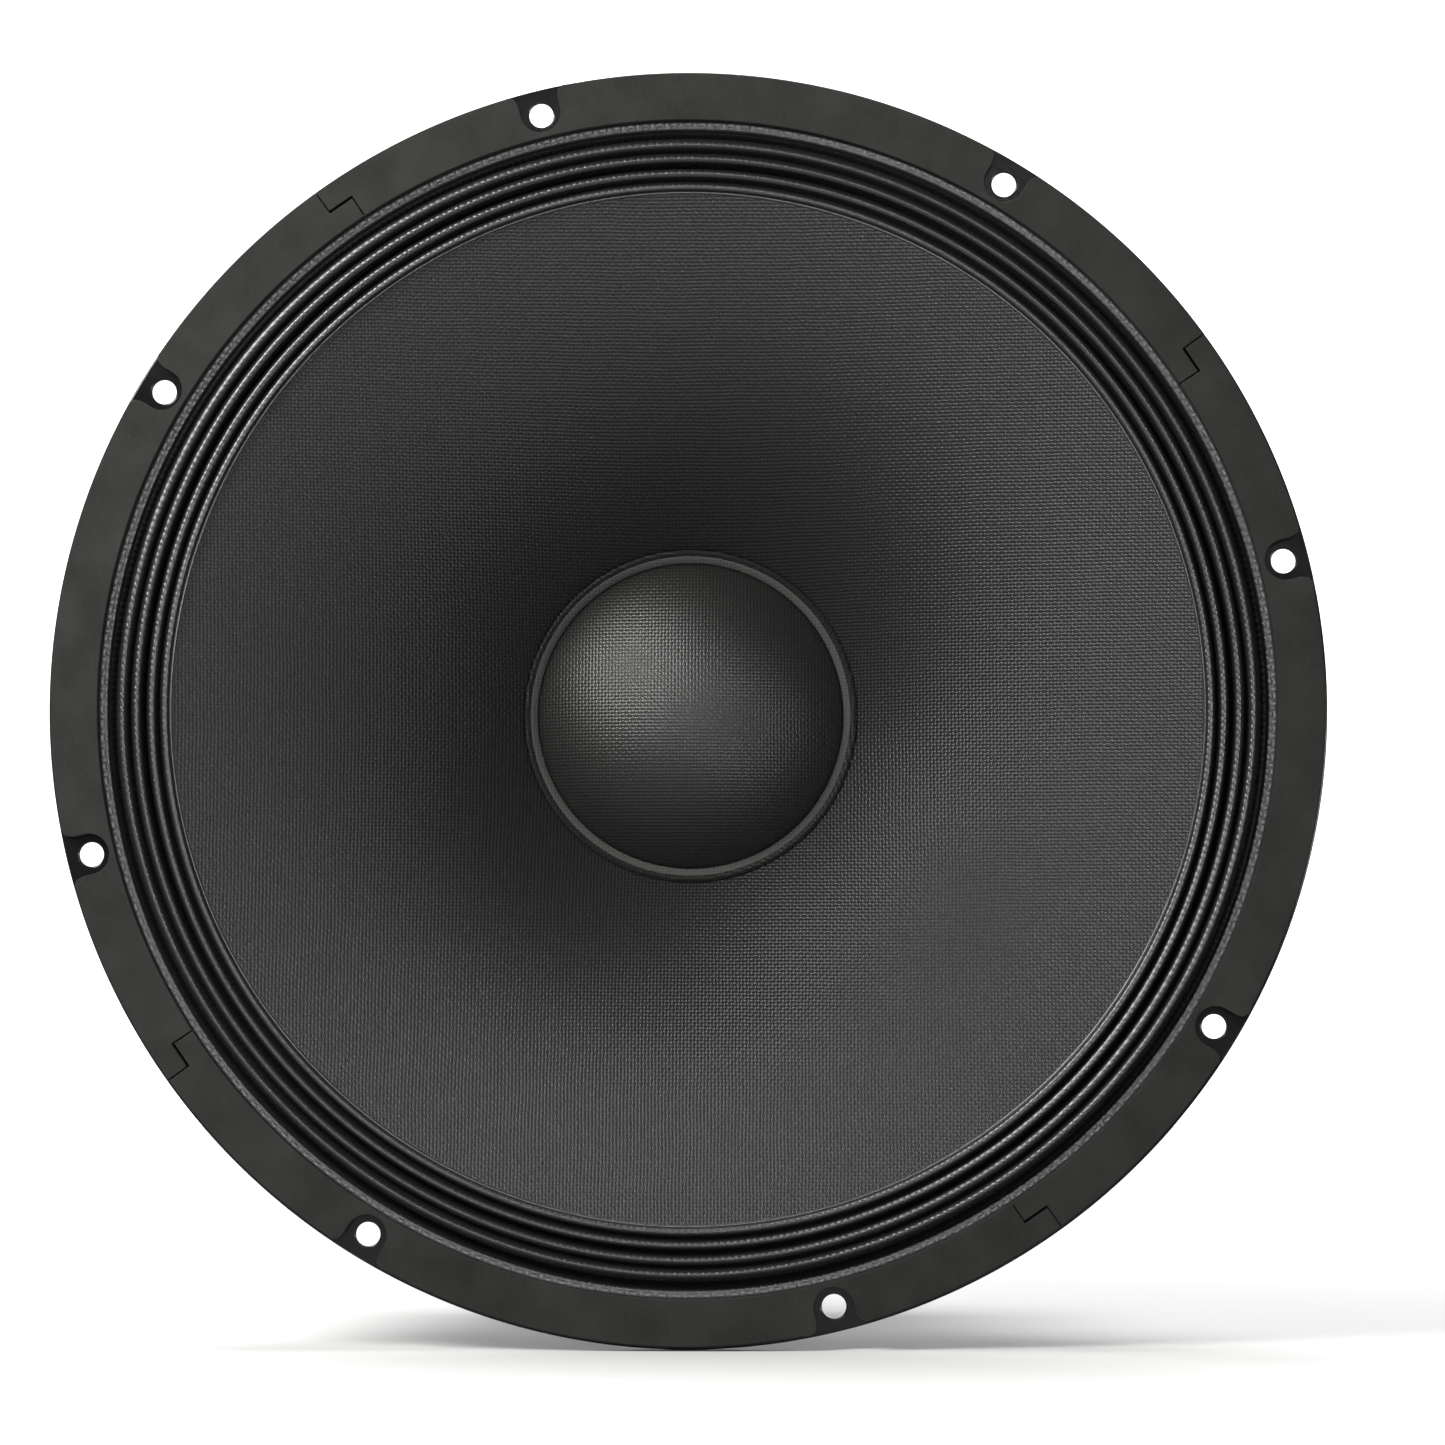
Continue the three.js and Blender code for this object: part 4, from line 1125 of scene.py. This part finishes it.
@dataclass
class MovingCone:
    """The paper cone, its dust cap and the voice coil."""

    surface: ConeSurface = field(default_factory=ConeSurface)
    rim_radius: float = 42.0
    dome_radius: float = 38.6
    dome_height: float = 19.0
    cap_gap: float = 0.3
    cap_cloth: float = 0.9
    hem_radius: float = 40.6
    hem_half: tuple[float, float] = (1.05, 0.3)
    hem_gap: float = 0.65
    hem_slope: float = 0.62
    glue_radius: float = 125.35
    glue_half: tuple[float, float] = (0.42, 0.32)

    def make_cone(self) -> Piece:
        """The cone: the flare's path, as a sheet, turned about the axis."""
        radius = np.linspace(self.surface.edge_radius, self.surface.neck_radius + self.surface.paper, 120)
        path = self.surface.behind(radius, self.surface.paper / 2)
        return turned("paper_cone", sheet_loop(path, self.surface.paper), 320)

    def cap_path(self) -> tuple[Array, Array]:
        """The cap's rim and its dome, as two paths that meet in a tight roll."""
        lift = -self.surface.paper / 2 - self.cap_gap
        base = self.surface.behind(self.dome_radius, lift)
        ball = (self.dome_radius**2 + self.dome_height**2) / (2 * self.dome_height)
        reach = np.arcsin(self.dome_radius / ball)
        share = np.linspace(1, 0, 90)
        dome = np.stack(
            [ball * np.sin(reach * share), base[1] - 1 - self.dome_height + ball * (1 - np.cos(reach * share))], axis=-1
        )
        rim = self.surface.behind(np.linspace(self.rim_radius, self.dome_radius + 0.9, 10), lift)
        return rim, dome

    def make_cap(self) -> Piece:
        """The dust cap: a spherical dome that rolls into a narrow rim laid on the cone."""
        rim, dome = self.cap_path()
        t = np.linspace(0, 1, 8)[1:-1, None]
        corner = (rim[-1] + dome[0]) / 2 + np.array([0.1, 0.35])
        path = np.vstack([rim, bend(rim[-1], corner, dome[0], t), dome])
        return turned("dust_cap_dome", sheet_loop(path, self.cap_cloth), sharp=60.0)

    def make_rim(self) -> Piece:
        """The rolled cloth hem round the cap: a half-round bead, flattened on to the cone."""
        middle = self.surface.behind(self.hem_radius, -self.surface.paper - self.hem_gap)
        angle = even_turn(20)[:, None]
        long = unit(np.array([-1.0, self.hem_slope]))
        high = unit(np.array([-self.hem_slope, -1.0]))
        half_width, half_height = self.hem_half
        bead = middle + half_width * np.cos(angle) * long + half_height * np.sin(angle) * high
        return turned("dust_cap_hem", bead)

    def make_glue(self) -> Piece:
        """The thin bead of glue where the surround meets the cone's edge."""
        middle = self.surface.behind(self.glue_radius, -0.05)
        bead = middle + arc(1.0, even_turn(12)) * self.glue_half
        return turned("edge_glue_bead", bead, 320)

    def build(self) -> None:
        """Makes and dresses the moving pieces."""
        install(self.make_cone(), CONE_PAPER, CONE_BODY, "cone", slot="cone_paper")
        install(self.make_cap(), CAP_CLOTH, CONE_BODY, "dust_cap", slot="cap_cloth")
        install(self.make_rim(), CAP_RIM, CONE_BODY, "dust_cap", slot="cap_cloth")
        install(self.make_glue(), EDGE_GLUE, CONE_BODY, "cone", slot="cone_paper")
        redress("coil_former", FILM)
        redress("voice_coil_winding", COPPER)


@dataclass
class Surround:
    """The accordion surround: two M-shaped rolls of doped cloth between the flange and the cone."""

    cloth: float = 0.7
    flange_radius: float = 143.7
    flange_y: float = -1.95
    crests: tuple[float, ...] = (136.9, 133.4, 129.8, 126.5)
    crest_y: float = -5.0
    fullness: float = 1.5
    outer_valley: float = 138.9
    outer_valley_y: float = 0.6
    flat_end: float = 141.6
    step_ends: tuple[float, float] = (141.0, 139.7)
    step_y: float = 0.3
    glue_gap: float = 0.8
    glued: tuple[float, float, float] = (124.6, 124.2, 119.5)
    valleys_y: tuple[float, ...] = (-1.4, 0.9, -1.4)
    surface: ConeSurface = field(default_factory=ConeSurface)

    def path(self) -> Array:
        """The cloth's middle line: the flat, a step wall, then folds that are broad at the crests.

        Between a crest and a valley, at a share s of the way, the cloth is down by ((1 - cos(pi s)) / 2)^fullness of
        the fold's depth.
        """
        stops = [(self.outer_valley, self.outer_valley_y)]
        below = self.surface.paper + self.glue_gap
        last_fold, tail_start, tail_end = self.glued
        for k, crest in enumerate(self.crests):
            stops.append((crest, self.crest_y))
            if k < len(self.valleys_y):
                stops.append(((crest + self.crests[k + 1]) / 2, self.valleys_y[k]))
        stops.append(tuple(self.surface.behind(last_fold, below)))
        flat = np.array([[self.flange_radius, self.flange_y], [self.flat_end, self.flange_y]])
        t = np.linspace(0, 1, 10)[:, None]
        top, foot = self.step_ends
        step = np.array([top, self.flange_y]) * (1 - t) + np.array([foot, self.step_y]) * t
        share = np.linspace(0, 1, 15)[1:]
        folds = []
        for k, ((r0, y0), (r1, y1)) in enumerate(zip(stops, stops[1:])):
            rising = k % 2 == 0
            from_crest = 1 - share if rising else share
            down = ((1 - np.cos(np.pi * from_crest)) / 2) ** self.fullness
            high, low = (y1, y0) if rising else (y0, y1)
            folds.append(np.stack([r0 + (r1 - r0) * share, high + (low - high) * down], axis=-1))
        tail = self.surface.behind(np.linspace(tail_start, tail_end, 6), below)
        return spaced(np.vstack([flat, step, [stops[0]], *folds, tail]), 0.42)

    def build(self) -> None:
        """Makes and dresses the surround."""
        cloth = turned("surround_cloth", sheet_loop(self.path(), self.cloth), 360, 70.0)
        outer, inner = self.outer_valley, self.crests[-1]
        install_soft(
            cloth, DOPED_CLOTH, "surround",
            share=inward_share(cloth, outer, inner),
        )


@dataclass
class Spider:
    """The corrugated spider that centres the coil."""

    cloth: float = 0.6
    outer: float = 77.5
    first_wave: float = 67.0
    last_wave: float = 37.0
    waves: int = 7
    swing: float = 1.9
    rim_y: float = 66.55
    rim_inner: float = 72.0
    cuff: tuple[tuple[float, float], ...] = ((35.2, -0.3), (34.0, -1.3), (33.65, -2.8))

    def build(self) -> None:
        """Makes the spider: a flat rim, waves of a sine, and a cuff on the coil former."""
        radius = np.linspace(self.first_wave, self.last_wave, 170)
        share = (self.first_wave - radius) / (self.first_wave - self.last_wave)
        held = smoothstep(share * 8) * smoothstep((1 - share) * 8)
        swing = self.swing * held * np.sin(share * self.waves * TURN)
        waves = np.stack([radius, swing], axis=-1)
        rim = np.array([[self.outer, 0], [self.rim_inner, 0]])
        path = spaced(np.vstack([rim, waves, self.cuff]) + [0, self.rim_y], 0.5)
        cloth = turned("spider_cloth_disc", sheet_loop(path, self.cloth), 240, 70.0)
        install_soft(
            cloth, SPIDER_CLOTH, "spider",
            share=inward_share(cloth, self.first_wave, self.last_wave),
        )


# ---- motor ----


@dataclass
class Motor:
    """The ferrite ring between its top plate and its vented yoke."""

    bore: float = 35.2
    magnet_bore: float = 40.0
    pole: float = 31.9
    vent: float = 12.5
    vent_mouth: float = 18.0
    vent_flare: float = 6.0
    chamfer: float = 1.5
    yoke_chamfer: float = 2.6
    groove: tuple[float, float, float, float] = (30.0, 28.6, 25.0, 23.8)
    groove_depth: float = 0.7

    def span(self, node: str) -> tuple[float, float, float]:
        """A node's radius, front and rear in millimetres."""
        low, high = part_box(node)
        return high.x / MM, low.y / MM, high.y / MM

    def build(self) -> None:
        """Makes and dresses the motor's turned pieces."""
        radius, front, rear = self.span("top_plate")
        corners = [(self.bore, front, 0.3), (radius, front, 0.6), (radius, rear, 0.6), (self.bore, rear, 0.3)]
        install(turned("motor_top_plate", rounded(corners)), ZINC, FRAME_BODY, "top_plate", slot="plated_steel")

        radius, front, rear = self.span("magnet")
        edge = self.chamfer
        corners = [
            (self.magnet_bore, front, 0.4), (radius - edge, front, 0.5), (radius, front + edge, 0.5),
            (radius, rear - edge, 0.5), (radius - edge, rear, 0.5), (self.magnet_bore, rear, 0.4),
        ]
        install(turned("ferrite_ring", rounded(corners)), FERRITE, FRAME_BODY, "magnet", slot="ferrite")

        radius, front, rear = self.span("back_plate_and_pole")
        plate_front = self.span("magnet")[2] + 0.1
        edge, depth = self.yoke_chamfer, self.groove_depth
        corners = [
            (self.vent, front, 0.3), (self.pole, front, 0.8), (self.pole, plate_front, 0.3),
            (radius, plate_front, 0.4), (radius, rear - edge, 1.0), (radius - edge, rear, 1.0),
            *((place, rear - deep, 0.4) for place, deep in zip(self.groove, (0, depth, depth, 0))),
            (self.vent_mouth, rear, 1.2), (self.vent, rear - self.vent_flare, 1.5),
        ]
        yoke = turned("vented_yoke", rounded(corners))
        install(yoke, ZINC, FRAME_BODY, "back_plate_and_pole", slot="plated_steel")
        redress("vent_screen", NICKEL)
        for k in range(4):
            redress(f"motor_screw_{k + 1}", ZINC)


# ---- terminals and leads ----


class Pole(Enum):
    """The two terminals."""

    POSITIVE = "positive"
    NEGATIVE = "negative"

    @property
    def side(self) -> int:
        """Which side of the board the terminal stands on."""
        return -1 if self is Pole.POSITIVE else 1


@dataclass
class Terminals:
    """The terminal board with its sprung push caps, and the braided leads to the coil."""

    place: TerminalPlace = field(default_factory=TerminalPlace)
    spacing_half: float = 8.0
    board_half: tuple[float, float] = (23.0, 12.0)
    rivet_half: float = 20.0
    board_z: tuple[float, float] = (0.2, 1.8)
    cap_radius: float = 5.2
    cap_bore: float = 3.6
    cap_z: tuple[float, float, float] = (7.3, 14.1, 16.1)
    ridges: int = 16
    ridge_depth: float = 0.045
    spring_radius: float = 1.5
    spring_z: tuple[float, float] = (6.4, 13.7)
    spring_turns: int = 6
    wire: float = 0.25
    lead_radius: float = 0.9
    route: tuple[tuple[float, float, float], ...] = (
        (98.6, 29.2, 4.9), (95.2, 28.0, 5.6), (90.4, 29.4, 6.8), (84.0, 33.6, 8.6), (77.0, 39.4, 10.4),
        (69.6, 45.6, 12.0), (62.0, 51.2, 13.6), (54.2, 55.4, 15.4), (46.4, 57.8, 17.6), (39.6, 58.9, 20.0),
        (34.4, 59.8, 22.0),
    )

    def stood(self, piece: Piece, across: float = 0.0) -> Piece:
        """A piece made in the terminals' frame, moved into place in its mesh."""
        piece.data.transform(self.place.matrix() @ Matrix.Translation((across * MM, 0, 0)))
        return piece

    def make_board(self) -> Piece:
        """The board, with rounded corners and a hole for each rivet and post."""
        turn = np.linspace(0, np.pi / 2, 8)
        corner = 2.0
        inner = np.array(self.board_half) - corner
        corners = []
        for k, side in enumerate(((1, 1), (-1, 1), (-1, -1), (1, -1))):
            spin = turn + k * np.pi / 2
            corners.append(inner * side + corner * np.stack([np.cos(spin), np.sin(spin)], axis=-1))
        outline = np.vstack(corners)
        bores = ((2.1, self.spacing_half), (1.9, self.rivet_half))
        holes = [circle(bore, (side * x, 0), 32) for bore, x in bores for side in (-1, 1)]
        return plate("terminal_board_plate", [outline, *holes], *self.board_z, 0.2, self.place.matrix())

    def make_cap(self, pole: Pole) -> Piece:
        """A push cap: its radius ripples as cos of the ridge count times the angle, below a domed top."""
        base, hollow, top = self.cap_z
        profile = rounded(
            [(self.cap_bore, base, 0.25), (self.cap_radius, base, 0.4), (self.cap_radius, top - 2.4, 0.4),
             (self.cap_radius - 0.5, top - 2.0, 0.3), (self.cap_radius - 0.5, top - 0.6, 0.9), (2.0, top, 1.5),
             (0.0, top - 0.15, 0), (0.0, hollow, 0), (self.cap_bore, hollow, 0.4)]
        )
        angle = even_turn(192)
        z = profile[:, 1:]
        skirt = smoothstep((z - base - 0.5) / 0.6) * smoothstep((top - 2.6 - z) / 0.6) * (profile[:, :1] > 4.6)
        ripple = 1 + self.ridge_depth * np.abs(np.cos(angle * self.ridges / 2))[None] * skirt
        radius = profile[:, :1] * ripple
        points = np.stack(np.broadcast_arrays(radius * np.cos(angle), radius * np.sin(angle), z), axis=-1)
        return self.stood(grid_piece(f"push_cap_{pole.value}", points, sharp=45.0), pole.side * self.spacing_half)

    def make_spring(self, pole: Pole) -> Piece:
        """The spring under a cap: a helix of wire."""
        share = np.linspace(0, 1, 36 * self.spring_turns)
        turn = share * self.spring_turns * TURN
        low, high = self.spring_z
        route = np.stack(
            [self.spring_radius * np.cos(turn), self.spring_radius * np.sin(turn), low + share * (high - low)], axis=-1
        )
        wire = tube_piece(f"cap_spring_{pole.value}", route, self.wire, np.array([0.0, 0.0, 1.0]), 8)
        return self.stood(wire, pole.side * self.spacing_half)

    def lead_route(self, pole: Pole) -> Array:
        """A lead's smooth route: a Catmull-Rom curve through the points held in route."""
        held = np.array(self.route)
        angle = np.radians(self.place.arm_angle - pole.side * held[:, 2])
        knots = polar(held[:, 0], angle, held[:, 1])
        ends = np.vstack([2 * knots[0] - knots[1], knots, 2 * knots[-1] - knots[-2]])
        t = np.linspace(0, 1, 13)[:-1, None, None]
        p0, p1, p2, p3 = ends[:-3], ends[1:-2], ends[2:-1], ends[3:]
        bend = 2 * p1 + (p2 - p0) * t + (2 * p0 - 5 * p1 + 4 * p2 - p3) * t**2 + (3 * p1 - p0 - 3 * p2 + p3) * t**3
        return np.vstack([(bend / 2).transpose(1, 0, 2).reshape(-1, 3), knots[-1:]])

    def make_lead(self, pole: Pole) -> None:
        """A braided lead whose inner end runs to the cone."""
        route = self.lead_route(pole)
        lead = tube_piece(f"braided_lead_{pole.value}", route, self.lead_radius, np.array([0.0, 1.0, 0.0]))
        install_soft(
            lead, BRAID, f"tinsel_lead_{pole.value}",
            share=inward_share(lead, self.route[1][0], self.route[-2][0]),
        )

    def build(self) -> None:
        """Makes and dresses the board, caps, springs and leads."""
        install(self.make_board(), PHENOLIC, FRAME_BODY, "terminal_board", slot="phenolic_board")
        plastics = {Pole.POSITIVE: (RED_PLASTIC, "red_plastic"), Pole.NEGATIVE: (BLACK_PLASTIC, "black_plastic")}
        place = self.place.matrix()
        for pole, (plastic, slot) in plastics.items():
            body = f"button_{pole.value}"
            install(self.make_cap(pole), plastic, body, f"terminal_button_{pole.value}", slot=slot)
            spring = self.make_spring(pole)
            install_soft(spring, NICKEL, f"terminal_spring_{pole.value}")
            redress(f"terminal_post_{pole.value}", NICKEL)
            redress(f"solder_lug_{pole.value}", NICKEL)
            self.make_lead(pole)
        for k in (1, 2):
            redress(f"terminal_rivet_{k}", NICKEL)


# ---- studio ----


@dataclass
class SoftBox:
    """A square area light."""

    name: str
    way: tuple[float, float, float]
    distance: float
    size: float
    power: float
    warmth: Colour = (1.0, 1.0, 1.0)
    aim: tuple[float, float, float] = (0.0, 0.0, 0.0)

    def build(self) -> None:
        """Adds the light, pointing at what it is aimed at."""
        lamp = bpy.data.lights.new(self.name, "AREA")
        lamp.size = self.size
        lamp.energy = self.power
        lamp.color = self.warmth
        light = placed(self.name, lamp)
        way = Vector(self.way).normalized()
        light.location = Vector(self.aim) + way * self.distance
        light.rotation_euler = (-way).to_track_quat("-Z", "Y").to_euler()


@dataclass
class Studio:
    """A white table, a white surround and a camera nearly on the driver's axis."""

    distance: float = 1.3
    azimuth: float = 1.1
    elevation: float = -2.4
    frame_width: float = 0.35076
    sensor: float = 36.0
    shift: tuple[float, float] = (0.02454, -0.00996)
    ambient: float = 0.1
    backdrop_y: float = 1.5
    backdrop_glow: float = 1.1
    lights: tuple[SoftBox, ...] = (
        SoftBox("key_softbox", (-0.58, -0.62, 0.5), 0.68, 0.3, 7.2, (1.0, 0.99, 0.965)),
        SoftBox("front_softbox", (0.0, -0.99, 0.08), 1.5, 0.3, 4.0),
        SoftBox("right_softbox", (0.55, -0.83, -0.12), 1.2, 0.35, 8.4, (0.97, 0.98, 1.0)),
        SoftBox("overhead_softbox", (0.0, 0.1, 1.0), 1.2, 0.5, 15.0),
        SoftBox("rear_softbox", (0.0, 0.1, 1.0), 1.2, 0.8, 9.0, aim=(0.0, 1.3, -0.155)),
    )

    def build_camera(self) -> None:
        """Adds the camera."""
        data = bpy.data.cameras.new("camera")
        data.sensor_width = self.sensor
        data.lens = self.sensor * self.distance / self.frame_width
        data.shift_x, data.shift_y = self.shift
        camera = placed("camera", data)
        az, el = np.radians(self.azimuth), np.radians(self.elevation)
        way = Vector((np.sin(az) * np.cos(el), -np.cos(az) * np.cos(el), np.sin(el)))
        camera.location = way * self.distance
        camera.rotation_euler = (-way).to_track_quat("-Z", "Y").to_euler()
        bpy.context.scene.camera = camera

    def build_floor(self) -> None:
        """Adds the white table under the driver's rim, and the glowing backdrop behind it."""
        low = CAD_BOUNDS[0][2]
        side = np.linspace(-3, 3, 9)
        u, v = np.meshgrid(side, side, indexing="ij")
        table = np.stack([u, v, np.full_like(u, low)], axis=-1) / MM
        floor = grid_piece("studio_floor", table, round_rows=False, round_columns=False)
        Wardrobe.dress(floor, FLOOR_WHITE)
        wall = np.stack([u, np.full_like(u, self.backdrop_y), v / 2 + 1.5 + low], axis=-1) / MM
        backdrop = grid_piece("studio_backdrop", wall, round_rows=False, round_columns=False)
        material = bpy.data.materials.new("studio_backdrop")
        material.use_nodes = True
        graph = Graph(material.node_tree)
        shader = material.node_tree.nodes["Principled BSDF"]
        graph.feed(shader, Emission_Color=WHITE, Emission_Strength=self.backdrop_glow)
        backdrop.data.materials.append(material)

    def build_sky(self) -> None:
        """Surrounds the scene with white, which lights it only dimly."""
        world = bpy.data.worlds.new("studio")
        world.use_nodes = True
        graph = Graph(world.node_tree)
        seen = graph.node("ShaderNodeLightPath").outputs["Is Camera Ray"]
        strength = graph.math("MAXIMUM", seen, self.ambient)
        graph.feed(world.node_tree.nodes["Background"], Color=WHITE, Strength=strength)
        bpy.context.scene.world = world
        bpy.context.scene.view_settings.view_transform = "Standard"

    def build(self) -> None:
        """Adds everything."""
        self.build_camera()
        self.build_floor()
        self.build_sky()
        for light in self.lights:
            light.build()


def main() -> None:
    """Builds the studio and every sub-assembly, in order."""
    logging.basicConfig(level=logging.INFO, format="%(name)s: %(message)s")
    for part in (Studio(), Basket(), Gasket(), Surround(), MovingCone(), Spider(), Motor(), Terminals()):
        part.build()


if __name__ == "__main__":
    main()
